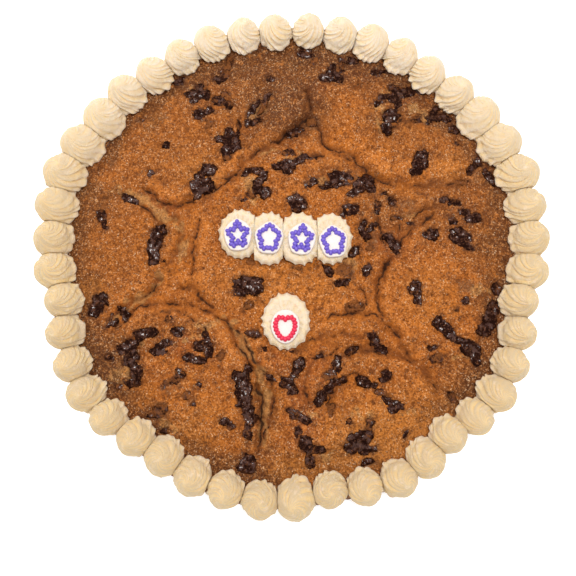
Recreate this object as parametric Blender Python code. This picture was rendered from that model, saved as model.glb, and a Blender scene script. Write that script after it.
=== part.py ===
# Cookie cake: one large round chocolate chunk cookie baked from several balls of dough,
# with a ring of piped cream rosettes round its rim and five flattened dollops of cream
# in the middle, each carrying a small moulded sugar decoration.
#
# Metres, +Z up. The origin is on the table under the middle of the ring of rosettes.
# +Y points at the top of the cake, the side that a row of decorations is read from.
# Lengths in the tables are millimetres, angles are degrees.

import math
import random

import bmesh
import bpy

mm = 0.001

# Cookie
cookie_radius = 152.0
cookie_side_bulge = 0.6
cookie_foot_inset = 2.4
rim_top = 14.0
rim_top_radius = 149.6
rim_waist = 8.0
rim_foot = 2.0
shelf_start = 130.2
ring_count = 18
dough_skin = 0.4
dough_fullness = 4
lump_rises = (0.35, 0.2)
lump_lengths = (7.3, 8.1, 4.7)
crease_width = 4.2
crease_snap = 3.0
crease_fade = 0.12
crease_end_share = 0.35
crease_floor = 0.6
shelf_blend = 15.5

# Cream ring
rosette_count = 45
ring_radius = 144.0
ring_start = 86.2
rosette_height = 15.4
rosette_lobes = 8
rosette_unevenness = 0.04
rosette_lean = 2.4
touch_gap = 0.3

# Cream dollops and sugar decorations
seat_height = 16.6
seat_margin = 9.0
seat_blend = 14.0
dollop_height = 5.0
dollop_sides = 22
sugar_thickness = 2.0
bead_rise = 1.7
bead_half_width = 1.7
sugar_margin = 2.7
sugar_sides = 20

# Chocolate
chunk_corners = 6
chunk_proud = 1.1
chunk_depth = 2.2
chunk_clearance = 0.8

seed = 24

# Balls of dough that ran together: x, y, radius, rise over the rim
dough_balls = [
    (-3, 6, 66, 2.6),
    (-70, 76, 46, 2.8),
    (-14, 104, 34, 3.6),
    (82, 80, 46, 2.8),
    (92, 26, 30, 1.6),
    (96, -28, 45, 2.8),
    (38, -110, 50, 3.2),
    (-71, -90, 54, 3.0),
    (-112, -4, 36, 2.4),
    (112, -86, 30, 1.4),
]

# Creases where the balls meet, each an arc: centre x, centre y, radius, from, to, depth
creases = [
    (5, 14, 57, 34, 146, 1.9),
    (-68, 74, 44, 236, 318, 2.3),
    (80, 110, 70, 244, 290, 2.1),
    (97, -28, 45, 84, 236, 2.2),
    (38, -114, 53, 8, 172, 2.0),
    (-71, -91, 54, -34, 136, 2.4),
    (40, -8, 100, 161, 190, 1.6),
    (-117, -8, 37, -72, 20, 1.6),
    (60, 95, 50, 168, 216, 2.6),
    (160, 20, 38, 140, 184, 1.4),
    (-14, -2, 62, 262, 326, 1.2),
]

# Where the hand that piped the ring strayed: angle, shift in or out, spread
ring_waves = [
    (18, 3.0, 8), (162, 3.4, 8), (-13.5, -5.6, 7), (-166, -5.4, 7), (-36, 2.6, 9),
    (-144, 2.9, 8), (-51, -2.6, 6), (-66, 2.8, 7), (-80, -2.6, 5), (-97, 2.6, 8),
    (-124, -2.6, 7), (52, -1.5, 7), (128, -1.6, 7), (98, -1.2, 8),
]
# How the spacing drifts round the ring: sine and cosine parts of one, two and three turns
ring_drift = [(3.44, -0.57), (0.47, 0.19), (-0.66, -0.09)]

# Radius of every rosette, anticlockwise from the top of the cake
rosette_sizes = [
    10.4, 10.7, 10.7, 11.2, 11.0, 11.4, 11.8, 13.1, 13.0, 12.8, 12.2, 11.6, 11.7, 10.7, 10.4,
    10.4, 10.7, 10.2, 10.3, 11.0, 10.8, 10.0, 10.4, 11.9, 9.8, 10.0, 10.3, 10.8, 10.3, 10.3,
    10.8, 10.4, 10.4, 10.7, 11.7, 11.5, 11.9, 12.8, 13.0, 13.1, 11.7, 11.3, 10.8, 11.4, 10.9,
]

# Chocolate chunks: x, y, length, width, turn
chunks = [
    (-60, 101, 14, 12, 20), (-44, 95, 12, 8, -25), (-56, 87, 11, 7, -10), (-43, 114, 13, 6, 75),
    (-21, 89, 20, 8, 50), (-39, 68, 18, 12, 80), (-54, 38, 16, 9, 15),
    (-22, 41, 20, 13, 100), (-1, 55, 18, 12, 10), (-114, 19, 14, 5, 95), (-101, 31, 10, 5, -20),
    (-82, 1, 26, 7, 85), (-27, -26, 20, 10, 5), (10, 122, 10, 6, 0),
    (26, 115, 13, 11, 20), (66, 99, 26, 11, 20), (62, 82, 15, 8, 70), (90, 83, 20, 7, -5),
    (80, 55, 14, 10, 70), (110, 49, 15, 6, 65), (30, 44, 19, 8, 0), (44, 39, 14, 11, 60),
    (4, 29, 10, 8, 0), (99, 30, 11, 5, 0), (109, 18, 12, 7, 0),
    (85, 8, 10, 6, 0), (103, 4, 15, 11, 60), (48, 9, 18, 6, 75), (61, 3, 11, 7, 60),
    (-115, -35, 14, 10, 70), (-102, -45, 12, 8, 45), (-86, -53, 13, 6, 35),
    (-95, -64, 12, 7, 50), (-90, -80, 10, 8, 60), (-75, -62, 12, 8, 30), (-51, -59, 14, 9, -60),
    (-60, -69, 10, 5, -20), (-75, -97, 12, 8, 20), (-27, -85, 20, 9, -75),
    (-24, -107, 9, 6, 90), (-23, -121, 11, 8, 80), (74, -28, 11, 7, 80), (91, -49, 16, 7, -50),
    (104, -61, 14, 12, -45), (114, -42, 18, 8, 75), (50, -57, 11, 7, -50),
    (26, -72, 10, 8, 70), (6, -74, 10, 6, 70), (21, -87, 17, 6, 40), (42, -80, 9, 6, 0),
    (59, -95, 10, 8, 10), (39, -113, 15, 12, 10), (3, -100, 12, 6, -30),
    (8, -116, 13, 8, 80),
]

# Dollops: name, centre x, centre y, half width, half length, room to the left and the right
dollops = [
    ("dollop_1", -31.0, 7.6, 13.2, 15.6, None, 8.6),
    ("dollop_2", -13.8, 4.7, 13.8, 16.6, 8.6, 8.6),
    ("dollop_3", 4.9, 4.7, 13.8, 16.4, 10.1, 10.8),
    ("dollop_4", 23.7, 4.7, 13.2, 16.0, 8.0, None),
    ("dollop_5", -3.2, -45.5, 14.4, 17.0, None, None),
]

# Sugar decorations: name, motif, centre x, centre y, half width, half length, lean
sugar_pieces = [
    ("sugar_star_1", "star", -32.0, 5.6, 6.2, 8.0, 4),
    ("sugar_flower_1", "flower", -13.4, 3.8, 6.2, 7.8, -3),
    ("sugar_star_2", "star", 6.2, 3.2, 6.2, 8.0, -5),
    ("sugar_flower_2", "flower", 25.0, 1.6, 6.2, 7.8, 6),
    ("sugar_heart", "heart", -3.6, -48.4, 6.6, 7.6, 0),
]

finishes = {
    "baked_dough": ((0.45, 0.145, 0.03), 0.62),
    "piped_cream": ((0.90, 0.75, 0.47), 0.5),
    "blue_sugar": ((0.13, 0.08, 0.62), 0.4),
    "red_sugar": ((0.75, 0.02, 0.08), 0.4),
}


def clear_scene():
    for thing in list(bpy.data.objects):
        bpy.data.objects.remove(thing, do_unlink=True)


def make_material(name):
    colour, roughness = finishes[name]
    material = bpy.data.materials.new(name)
    material.use_nodes = True
    shader = material.node_tree.nodes["Principled BSDF"]
    shader.inputs["Base Color"].default_value = (*colour, 1.0)
    shader.inputs["Roughness"].default_value = roughness
    shader.inputs["Metallic"].default_value = 0.0
    material.diffuse_color = (*colour, 1.0)
    return material


def add_object(name, vertices, faces, material):
    """One closed mesh object from points in millimetres, its faces turned outwards."""
    mesh = bpy.data.meshes.new(name)
    mesh.from_pydata([tuple(c * mm for c in point) for point in vertices], [], faces)
    edit = bmesh.new()
    edit.from_mesh(mesh)
    bmesh.ops.recalc_face_normals(edit, faces=edit.faces)
    edit.to_mesh(mesh)
    edit.free()
    if material is not None:
        mesh.materials.append(material)
        mesh.shade_smooth()
        mesh.set_sharp_from_angle(angle=math.radians(50))
    thing = bpy.data.objects.new(name, mesh)
    bpy.context.scene.collection.objects.link(thing)
    return thing


def smooth_step(low, high, value):
    t = min(1.0, max(0.0, (value - low) / (high - low)))
    return t * t * (3.0 - 2.0 * t)


def polar(radius, degrees):
    turn = math.radians(degrees)
    return radius * math.cos(turn), radius * math.sin(turn)


def nearest_on_crease(x, y, crease):
    """Nearest point of an arc to x, y, with how far along the arc it lies, 0 to 1."""
    cx, cy, radius, start, end, _ = crease
    angle = math.degrees(math.atan2(y - cy, x - cx))
    middle = (start + end) / 2
    off = (angle - middle + 180.0) % 360.0 - 180.0
    half = (end - start) / 2
    off = max(-half, min(half, off))
    px, py = polar(radius, middle + off)
    return cx + px, cy + py, (off + half) / (2 * half)


def crease_drop(x, y):
    drop = 0.0
    for crease in creases:
        px, py, along = nearest_on_crease(x, y, crease)
        away = math.hypot(x - px, y - py)
        fade = smooth_step(0.0, crease_fade, min(along, 1.0 - along))
        depth = crease[5] * (crease_end_share + (1.0 - crease_end_share) * fade)
        drop = max(drop, depth * math.exp(-((away / crease_width) ** 2)))
    return drop


def dough_mound(x, y):
    """How high the balls of dough stand over the rim, before the creases."""
    rise = 0.0
    for cx, cy, radius, height in dough_balls:
        reach = math.hypot(x - cx, y - cy) / radius
        if reach < 1.0:
            rise = max(rise, height * (1.0 - reach ** dough_fullness))
    return rise


def seat_weight(x, y):
    """1 under a dollop of cream, where the top is level, falling to 0 round it."""
    weight = 0.0
    for _, cx, cy, half_width, half_length, _, _ in dollops:
        reach = math.hypot((x - cx) / half_width, (y - cy) / half_length)
        away = (reach - 1.0) * min(half_width, half_length)
        weight = max(weight, 1.0 - smooth_step(seat_margin, seat_margin + seat_blend, away))
    return weight


def top_height(x, y):
    radius = math.hypot(x, y)
    inland = 1.0 - smooth_step(shelf_start - shelf_blend, shelf_start, radius + 0.5)
    lumps = lump_rises[0] * math.sin(x / lump_lengths[0] + 1.0) * math.sin(y / lump_lengths[1])
    lumps += lump_rises[1] * math.sin((x + y) / lump_lengths[2])
    height = rim_top + dough_skin + dough_mound(x, y) + lumps - crease_drop(x, y)
    height = max(height, rim_top - crease_floor)
    height = rim_top + (height - rim_top) * inland
    seat = seat_weight(x, y)
    return height * (1.0 - seat) + seat_height * seat


def snap_to_crease(x, y):
    """Moves a point that lies near a crease on to it, so that the crease is sharp."""
    best = None
    for crease in creases:
        px, py, _ = nearest_on_crease(x, y, crease)
        away = math.hypot(x - px, y - py)
        if away < crease_snap and (best is None or away < best[0]):
            best = (away, px, py)
    if best is None or math.hypot(best[1], best[2]) > shelf_start - 4.0:
        return x, y
    if seat_weight(best[1], best[2]) > 0.0:
        return x, y
    return best[1], best[2]


def ring_shift(degrees):
    shift = 0.0
    for middle, size, spread in ring_waves:
        off = (degrees - middle + 180.0) % 360.0 - 180.0
        shift += size * math.exp(-((off / spread) ** 2))
    return shift


def make_cookie(material):
    """The baked cookie: a top of even triangles, a rounded rim and a level underside."""
    points = [(0.0, 0.0, top_height(0.0, 0.0))]
    faces = []
    first = [0]
    step = shelf_start / ring_count
    for ring in range(1, ring_count + 1):
        first.append(len(points))
        for place in range(6 * ring):
            x, y = polar(ring * step, 360.0 * place / (6 * ring))
            if ring < ring_count:
                x, y = snap_to_crease(x, y)
            points.append((x, y, top_height(x, y)))
    for ring in range(1, ring_count + 1):
        inner_count = 6 * (ring - 1)
        for sector in range(6):
            for place in range(ring):
                outer = first[ring] + sector * ring + place
                following = first[ring] + (sector * ring + place + 1) % (6 * ring)
                if inner_count:
                    inner = first[ring - 1] + (sector * (ring - 1) + place) % inner_count
                else:
                    inner = 0
                faces.append((outer, following, inner))
                if place:
                    before = first[ring - 1] + sector * (ring - 1) + place - 1
                    faces.append((outer, inner, before))
    around = 6 * ring_count
    profile = [
        (rim_top_radius, rim_top, 0.3),
        (cookie_radius, rim_waist, 0.5),
        (cookie_radius - cookie_side_bulge, rim_foot, 0.5),
        (cookie_radius - cookie_foot_inset, 0.0, 0.5),
    ]
    last = first[ring_count]
    for radius, height, follow in profile:
        start = len(points)
        for place in range(around):
            degrees = 360.0 * place / around
            x, y = polar(radius + follow * ring_shift(degrees), degrees)
            points.append((x, y, height))
        for place in range(around):
            following = (place + 1) % around
            faces.append((last + place, last + following, start + following, start + place))
        last = start
    faces.append(tuple(last + place for place in range(around)))
    return add_object("cookie", points, faces, material)


def in_the_clear(x, y, reach):
    """True where a lump of this reach keeps clear of the cream."""
    if math.hypot(x, y) + reach > shelf_start + 1.0:
        return False
    for _, cx, cy, half_width, half_length, _, _ in dollops:
        away = (math.hypot((x - cx) / half_width, (y - cy) / half_length) - 1.0) * half_width
        if away < reach * 0.5 + chunk_clearance:
            return False
    return True


def chunk_lump(name, x, y, length, width, turn, draw):
    """A broken piece of chocolate, sunk in the dough with its worn top showing."""
    top, bottom = [], []
    for corner in range(chunk_corners):
        angle = 360.0 * corner / chunk_corners + draw.uniform(-12, 12)
        u, v = polar(1.0, angle)
        u *= length / 2 * draw.uniform(0.86, 1.08)
        v *= width / 2 * draw.uniform(0.86, 1.08)
        px, py = polar(math.hypot(u, v), math.degrees(math.atan2(v, u)) + turn)
        ground = top_height(x + px, y + py)
        top.append((x + px * 0.84, y + py * 0.84, ground + chunk_proud * draw.uniform(0.75, 1.25)))
        bottom.append((x + px * 1.1, y + py * 1.1, ground - chunk_depth))
    corners = chunk_corners
    faces = [(k, (k + 1) % corners, corners + (k + 1) % corners, corners + k) for k in range(corners)]
    faces += [tuple(range(corners)), tuple(range(2 * corners - 1, corners - 1, -1))]
    return add_object(name, bottom + top, faces, None)


def fuse_chunks(cookie):
    """Joins the chocolate to the cookie with one union, and keeps the one solid."""
    draw = random.Random(seed)
    pieces = bpy.data.collections.new("chocolate")
    bpy.context.scene.collection.children.link(pieces)
    for number, (x, y, length, width, turn) in enumerate(chunks):
        if not in_the_clear(x, y, width / 2):
            continue
        lump = chunk_lump("chunk_%02d" % number, x, y, length, width, turn, draw)
        bpy.context.scene.collection.objects.unlink(lump)
        pieces.objects.link(lump)
    union = cookie.modifiers.new("chocolate", "BOOLEAN")
    union.operation = "UNION"
    union.operand_type = "COLLECTION"
    union.collection = pieces
    union.solver = "EXACT"
    bpy.context.view_layer.update()
    shaped = cookie.evaluated_get(bpy.context.evaluated_depsgraph_get())
    mesh = bpy.data.meshes.new_from_object(shaped)
    cookie.modifiers.clear()
    cookie.data = mesh
    for lump in list(pieces.objects):
        bpy.data.objects.remove(lump, do_unlink=True)
    bpy.data.collections.remove(pieces)


def ring_places():
    """Centre of every rosette, anticlockwise from the top of the cake."""
    places = []
    for number in range(rosette_count):
        along = 2 * math.pi * number / rosette_count
        degrees = ring_start + 360.0 * number / rosette_count
        for turns, (sine, cosine) in enumerate(ring_drift, start=1):
            degrees += sine * math.sin(turns * along) + cosine * math.cos(turns * along)
        x, y = polar(ring_radius + ring_shift(degrees), degrees)
        places.append((x, y))
    return places


def hold_back(u, v, walls):
    """Keeps a point on its own side of each wall, given as a direction and a distance."""
    for nx, ny, room in walls:
        over = u * nx + v * ny - room
        if over > 0:
            u, v = u - nx * over, v - ny * over
    return u, v


def make_rosette(number, places, material, draw):
    """A kiss of cream from a star nozzle: a scalloped foot, a waist and a twisted peak."""
    x, y = places[number]
    walls = []
    for neighbour in (number - 1, (number + 1) % rosette_count):
        nx, ny = places[neighbour][0] - x, places[neighbour][1] - y
        apart = math.hypot(nx, ny)
        walls.append((nx / apart, ny / apart, (apart - touch_gap) / 2))
    size = rosette_sizes[number]
    height = rosette_height * (1 + draw.uniform(-rosette_unevenness, rosette_unevenness))
    hand = 1.0 if x < 0 else -1.0
    start = draw.uniform(0, 360.0)
    lean_x, lean_y = polar(0.7, draw.uniform(0, 360.0))
    lean_x += rosette_lean * x / ring_radius
    lean_y += rosette_lean * y / ring_radius
    # share of the height, share of the radius, depth of the ridges, twist
    levels = [
        (0.0, 0.86, 0.03, 0.0), (0.19, 1.0, 0.07, -12.0), (0.45, 0.86, 0.09, -34.0),
        (0.68, 0.67, 0.1, -62.0), (0.88, 0.38, 0.1, -100.0),
    ]
    around = 2 * rosette_lobes
    points, faces = [], []
    for level, width, ridge, twist in levels:
        for place in range(around):
            wave = ridge if place % 2 == 0 else -ridge
            u, v = polar(size * width * (1 + wave), start + 360.0 * place / around + hand * twist)
            u, v = hold_back(u + lean_x * level, v + lean_y * level, walls)
            points.append((x + u, y + v, rim_top + touch_gap + height * level))
    points.append((x + lean_x, y + lean_y, rim_top + touch_gap + height))
    for ring in range(len(levels) - 1):
        for place in range(around):
            following = (place + 1) % around
            low, high = ring * around, (ring + 1) * around
            faces.append((low + place, low + following, high + following, high + place))
    last = (len(levels) - 1) * around
    faces += [(last + place, last + (place + 1) % around, len(points) - 1) for place in range(around)]
    faces.append(tuple(range(around)))
    add_object("rosette_%02d" % (number + 1), points, faces, material)


def make_dollop(name, x, y, half_width, half_length, left, right, material, draw):
    """A swirl of cream pressed flat, with a toothed edge and a level top."""
    walls = []
    if left is not None:
        walls.append((-1.0, 0.0, left - touch_gap / 2))
    if right is not None:
        walls.append((1.0, 0.0, right - touch_gap / 2))
    # height over the cookie, share of the outline
    levels = [(0.0, 0.93), (1.7, 1.0), (4.1, 0.9), (dollop_height, 0.74)]
    teeth = [draw.uniform(0.03, 0.09) for _ in range(dollop_sides)]
    points, faces = [], []
    for height, width in levels:
        for side in range(dollop_sides):
            wave = teeth[side] if side % 2 else -0.5 * teeth[side]
            u, v = polar(1.0, 360.0 * side / dollop_sides)
            reach = width * (1 + wave)
            u, v = hold_back(u * half_width * reach, v * half_length * reach, walls)
            points.append((x + u, y + v, seat_height + touch_gap + height))
    for ring in range(len(levels) - 1):
        for side in range(dollop_sides):
            following = (side + 1) % dollop_sides
            low, high = ring * dollop_sides, (ring + 1) * dollop_sides
            faces.append((low + side, low + following, high + following, high + side))
    faces.append(tuple(range(dollop_sides)))
    faces.append(tuple(range(len(points) - dollop_sides, len(points))))
    add_object(name, points, faces, material)


def motif_reach(motif, degrees):
    """Distance from the middle of a motif to its beaded line, as a share of its half size."""
    turn = math.radians(degrees)
    if motif == "star":
        return 0.74 + 0.26 * math.cos(5 * (turn - math.pi / 2))
    if motif == "flower":
        return 0.7 + 0.3 * abs(math.cos(2.5 * (turn - math.pi / 2)))
    off = (degrees + 90.0 + 180.0) % 360.0 - 180.0
    point = math.exp(-((off / 34.0) ** 2))
    cleft = math.exp(-(((180.0 - abs(off)) / 30.0) ** 2))
    return 0.86 + 0.2 * point - 0.42 * cleft


def make_sugar(name, motif, x, y, half_width, half_length, lean, material):
    """A white sugar plate with a raised motif: a line of beads stands proud of it."""
    base = seat_height + dollop_height + 2 * touch_gap
    top = base + sugar_thickness
    # distance from the beaded line, height
    rings = [
        (sugar_margin, base), (sugar_margin, top), (bead_half_width, top),
        (0.0, top + bead_rise), (-bead_half_width, top),
    ]
    points, faces = [], []
    for offset, height in rings:
        for side in range(sugar_sides):
            degrees = 90.0 + 360.0 * side / sugar_sides
            reach = motif_reach(motif, degrees)
            if offset == sugar_margin:
                reach = max(reach, 0.86)
            u, v = polar(1.0, degrees)
            px, py = u * (half_width * reach + offset), v * (half_length * reach + offset)
            px, py = polar(math.hypot(px, py), math.degrees(math.atan2(py, px)) + lean)
            points.append((x + px, y + py, height))
    points.append((x, y, top))
    for ring in range(len(rings) - 1):
        for side in range(sugar_sides):
            following = (side + 1) % sugar_sides
            low, high = ring * sugar_sides, (ring + 1) * sugar_sides
            faces.append((low + side, low + following, high + following, high + side))
    last = (len(rings) - 1) * sugar_sides
    middle = len(points) - 1
    faces += [(last + side, last + (side + 1) % sugar_sides, middle) for side in range(sugar_sides)]
    faces.append(tuple(range(sugar_sides)))
    add_object(name, points, faces, material)


def build():
    clear_scene()
    materials = {name: make_material(name) for name in finishes}
    cookie = make_cookie(materials["baked_dough"])
    fuse_chunks(cookie)
    draw = random.Random(seed + 1)
    places = ring_places()
    for number in range(rosette_count):
        make_rosette(number, places, materials["piped_cream"], draw)
    for name, x, y, half_width, half_length, left, right in dollops:
        make_dollop(name, x, y, half_width, half_length, left, right, materials["piped_cream"], draw)
    for name, motif, x, y, half_width, half_length, lean in sugar_pieces:
        colour = "red_sugar" if motif == "heart" else "blue_sugar"
        make_sugar(name, motif, x, y, half_width, half_length, lean, materials[colour])


build()
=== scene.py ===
# Cookie cake: the baked surface, chocolate, piped cream and sugar decorations.
# Lengths in the tables are millimetres and angles are degrees.
import math
import random

import bpy
import numpy as np
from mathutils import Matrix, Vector


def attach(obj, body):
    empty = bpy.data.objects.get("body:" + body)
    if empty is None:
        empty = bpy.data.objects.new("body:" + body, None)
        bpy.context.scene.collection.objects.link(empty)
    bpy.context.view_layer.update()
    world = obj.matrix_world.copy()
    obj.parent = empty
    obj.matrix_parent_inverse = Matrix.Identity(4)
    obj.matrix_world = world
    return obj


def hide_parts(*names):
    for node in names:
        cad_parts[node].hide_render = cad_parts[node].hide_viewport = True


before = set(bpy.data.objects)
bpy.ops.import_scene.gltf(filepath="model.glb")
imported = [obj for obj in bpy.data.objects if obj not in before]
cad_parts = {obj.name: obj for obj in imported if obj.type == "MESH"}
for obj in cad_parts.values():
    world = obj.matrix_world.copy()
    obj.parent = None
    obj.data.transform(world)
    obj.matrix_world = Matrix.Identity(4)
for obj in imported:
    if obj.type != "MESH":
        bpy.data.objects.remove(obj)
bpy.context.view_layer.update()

mm = 0.001


def smoothStep(low, high, value):
    share = np.clip((value - low) / (high - low), 0.0, 1.0)
    return share * share * (3.0 - 2.0 * share)


def ripples(x, y, length, seed, waves=11):
    # smooth random pattern with a spread of about 1, made of waves in all directions
    draw = np.random.default_rng(seed)
    total = 0.0
    for turn in draw.uniform(0, 2 * math.pi, waves):
        pace = 2 * math.pi / (length * draw.uniform(0.7, 1.5))
        along = x * math.cos(turn) + y * math.sin(turn)
        total = total + np.cos(pace * along + draw.uniform(0, 6.3))
    return total / math.sqrt(waves / 2)


def warped(x, y, waves, seed):
    # places pushed about by ripples, so that what is drawn through them comes out ragged
    newX, newY = x, y
    for number, (length, size) in enumerate(waves):
        newX = newX + size * ripples(x, y, length, seed + number)
        newY = newY + size * ripples(x, y, length, seed + len(waves) + number)
    return newX, newY


def curveThrough(stops, column, at):
    # smooth curve through one column of a table whose first column is the place
    places = np.array([stop[0] for stop in stops])
    values = np.array([stop[column] for stop in stops])
    slopes = np.gradient(values, places)
    index = np.clip(np.searchsorted(places, at) - 1, 0, len(places) - 2)
    gap = places[index + 1] - places[index]
    t = (at - places[index]) / gap
    start, end = values[index], values[index + 1]
    lean, nextLean = slopes[index] * gap, slopes[index + 1] * gap
    return (start * (2 * t**3 - 3 * t**2 + 1) + lean * (t**3 - 2 * t**2 + t)
            + end * (3 * t**2 - 2 * t**3) + nextLean * (t**3 - t**2))


def polar(radius, degrees):
    turn = np.radians(degrees)
    return radius * np.cos(turn), radius * np.sin(turn)


def turned(x, y, degrees):
    c, s = math.cos(math.radians(degrees)), math.sin(math.radians(degrees))
    return x * c - y * s, x * s + y * c


def paint(red, green, blue):
    # colour as a picture shows it, 0 to 255, made linear
    def linear(value):
        value = value / 255
        return value / 12.92 if value <= 0.04045 else ((value + 0.055) / 1.055) ** 2.4
    return linear(red), linear(green), linear(blue)


class Signal:
    # a value in a material's nodes, to be used in plain arithmetic
    def __init__(self, look, socket):
        self.look = look
        self.socket = socket

    def __add__(self, other):
        return self.look.maths("ADD", self, other)

    def __sub__(self, other):
        return self.look.maths("SUBTRACT", self, other)

    def __rsub__(self, other):
        return self.look.maths("SUBTRACT", other, self)

    def __mul__(self, other):
        return self.look.maths("MULTIPLY", self, other)

    __radd__ = __add__
    __rmul__ = __mul__

    def step(self, low, high):
        # 0 below low, 1 above high, smooth between; low may be the larger one
        settings = {"interpolation_type": "SMOOTHSTEP"}
        return self.look.node("ShaderNodeMapRange", settings, {0: self, 1: low, 2: high})


class Look:
    # one material: its nodes, and the few shader inputs that stay the same all over
    def __init__(self, name, **fixed):
        self.material = bpy.data.materials.new(name)
        self.material.use_nodes = True
        self.tree = self.material.node_tree
        self.shader = self.tree.nodes["Principled BSDF"]
        for words, value in fixed.items():
            self.feed(self.shader.inputs[words.replace("_", " ")], value)
        self.place = self.node("ShaderNodeTexCoord", output="Object")

    def feed(self, socket, value):
        if isinstance(value, Signal):
            self.tree.links.new(value.socket, socket)
        elif isinstance(value, tuple) and len(value) == 3 and socket.type == "RGBA":
            socket.default_value = (*value, 1.0)
        else:
            socket.default_value = value

    def node(self, kind, settings=None, inputs=None, output=0):
        made = self.tree.nodes.new(kind)
        for name, value in (settings or {}).items():
            setattr(made, name, value)
        for key, value in (inputs or {}).items():
            self.feed(made.inputs[key], value)
        return Signal(self, made.outputs[output])

    def maths(self, operation, first, second):
        return self.node("ShaderNodeMath", {"operation": operation}, {0: first, 1: second})

    def noise(self, size, detail, rough, seed):
        return self.node("ShaderNodeTexNoise", {"noise_dimensions": "4D"}, {
            "Vector": self.place, "W": seed, "Scale": 1.0 / (size * mm),
            "Detail": detail, "Roughness": rough})

    def mask(self, name):
        return self.node("ShaderNodeAttribute", {"attribute_name": name}, output="Fac")

    def mix(self, share, first, second):
        return self.node("ShaderNodeMix", {"data_type": "RGBA"}, {0: share, 6: first, 7: second}, 2)

    def lay(self, colour, cover, layer):
        # a further colour over the ones so far, where its cover is; a layer is its strength and tone
        strength, tone = layer
        return self.mix(cover * strength, colour, paint(*tone))

    def scale(self, colour, amount):
        # a colour made lighter or darker by a number or a signal
        return self.node("ShaderNodeVectorMath", {"operation": "SCALE"}, {0: colour, 3: amount})

    def bump(self, height, depth):
        self.feed(self.shader.inputs["Normal"], self.node("ShaderNodeBump", inputs={
            "Height": height, "Distance": depth * mm, "Strength": 1.0}))

    def show(self, **links):
        for words, value in links.items():
            self.feed(self.shader.inputs[words.replace("_", " ")], value)
        return self.material


def addPiece(name, points, faces, material, masks=None):
    mesh = bpy.data.meshes.new(name)
    points = np.asarray(points, float) * mm
    faces = np.asarray(faces, np.int32)
    mesh.vertices.add(len(points))
    mesh.vertices.foreach_set("co", points.ravel())
    mesh.loops.add(faces.size)
    mesh.loops.foreach_set("vertex_index", faces.ravel())
    mesh.polygons.add(len(faces))
    mesh.polygons.foreach_set("loop_start", np.arange(0, faces.size, faces.shape[1], dtype=np.int32))
    mesh.update(calc_edges=True)
    for mask, values in (masks or {}).items():
        layer = mesh.attributes.new(mask, "FLOAT", "POINT")
        layer.data.foreach_set("value", np.asarray(values, np.float32))
    mesh.materials.append(material)
    mesh.shade_smooth()
    piece = bpy.data.objects.new(name, mesh)
    bpy.context.scene.collection.objects.link(piece)
    return piece


def ringStrip(low, high, around):
    # triangles between two rings, given the number of each ring's first point
    here = np.arange(around)
    following = (here + 1) % around
    return np.concatenate([
        np.stack([low + here, low + following, high + following], 1),
        np.stack([low + here, high + following, high + here], 1)])


def ringStack(rings):
    # a closed skin over a stack of rings, counted from the lowest
    levels, around, _ = rings.shape
    points = np.concatenate([rings.reshape(-1, 3), rings[0].mean(0)[None], rings[-1].mean(0)[None]])
    here = np.arange(around)
    following = (here + 1) % around
    faces = [ringStrip(level * around, (level + 1) * around, around) for level in range(levels - 1)]
    bottom, top = levels * around, levels * around + 1
    last = (levels - 1) * around
    faces.append(np.stack([following, here, np.full(around, bottom)], 1))
    faces.append(np.stack([last + here, last + following, np.full(around, top)], 1))
    return points, np.concatenate(faces)


def hexDisc(ringCount, step):
    # an even net of triangles over a disc
    x, y = [np.zeros(1)], [np.zeros(1)]
    first, count, faces = [0], 1, []
    for ring in range(1, ringCount + 1):
        around = 6 * ring
        first.append(count)
        place = np.arange(around)
        px, py = polar(ring * step, 360.0 * place / around)
        x.append(px)
        y.append(py)
        count += around
        sector, along = place // ring, place % ring
        inner = first[ring - 1] + (sector * (ring - 1) + along) % max(6 * (ring - 1), 1)
        outer = first[ring] + place
        following = first[ring] + (place + 1) % around
        faces.append(np.stack([outer, following, inner], 1))
        inside = along > 0
        before = first[ring - 1] + sector[inside] * (ring - 1) + along[inside] - 1
        faces.append(np.stack([outer[inside], inner[inside], before], 1))
    return np.concatenate(x), np.concatenate(y), np.concatenate(faces), first[ringCount]


# where the pieces of cream stand, shared by cookie, chocolate and cream
ring = {
    "count": 45, "radius": 144.0, "start": 86.2, "seed": 25,
    # angle, shift in or out, spread
    "waves": [
        (18, 3.0, 8), (162, 3.4, 8), (-13.5, -5.6, 7), (-166, -5.4, 7), (-36, 2.6, 9),
        (-144, 2.9, 8), (-51, -2.6, 6), (-66, 2.8, 7), (-80, -2.6, 5), (-97, 2.6, 8),
        (-124, -2.6, 7), (52, -1.5, 7), (128, -1.6, 7), (98, -1.2, 8),
    ],
    # sine and cosine of one, two and three turns
    "drift": [(3.44, -0.57), (0.47, 0.19), (-0.66, -0.09)],
}

# name, centre x, centre y, half width, half length, room to the left and the right
dollops = [
    ("dollop_1", -31.0, 7.6, 13.2, 15.6, None, 8.6),
    ("dollop_2", -13.8, 4.7, 13.8, 16.6, 8.6, 8.6),
    ("dollop_3", 4.9, 4.7, 13.8, 16.4, 10.1, 10.8),
    ("dollop_4", 23.7, 4.7, 13.2, 16.0, 8.0, None),
    ("dollop_5", -3.2, -45.5, 14.4, 17.0, None, None),
]


def ringShift(degrees):
    shift = 0.0
    for middle, size, spread in ring["waves"]:
        off = (degrees - middle + 180.0) % 360.0 - 180.0
        shift = shift + size * np.exp(-((off / spread) ** 2))
    return shift


def ringPlaces():
    places = []
    for number in range(ring["count"]):
        along = 2 * math.pi * number / ring["count"]
        degrees = ring["start"] + 360.0 * number / ring["count"]
        for turns, (sine, cosine) in enumerate(ring["drift"], start=1):
            degrees += sine * math.sin(turns * along) + cosine * math.cos(turns * along)
        places.append(polar(ring["radius"] + ringShift(degrees), degrees))
    return places


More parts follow.
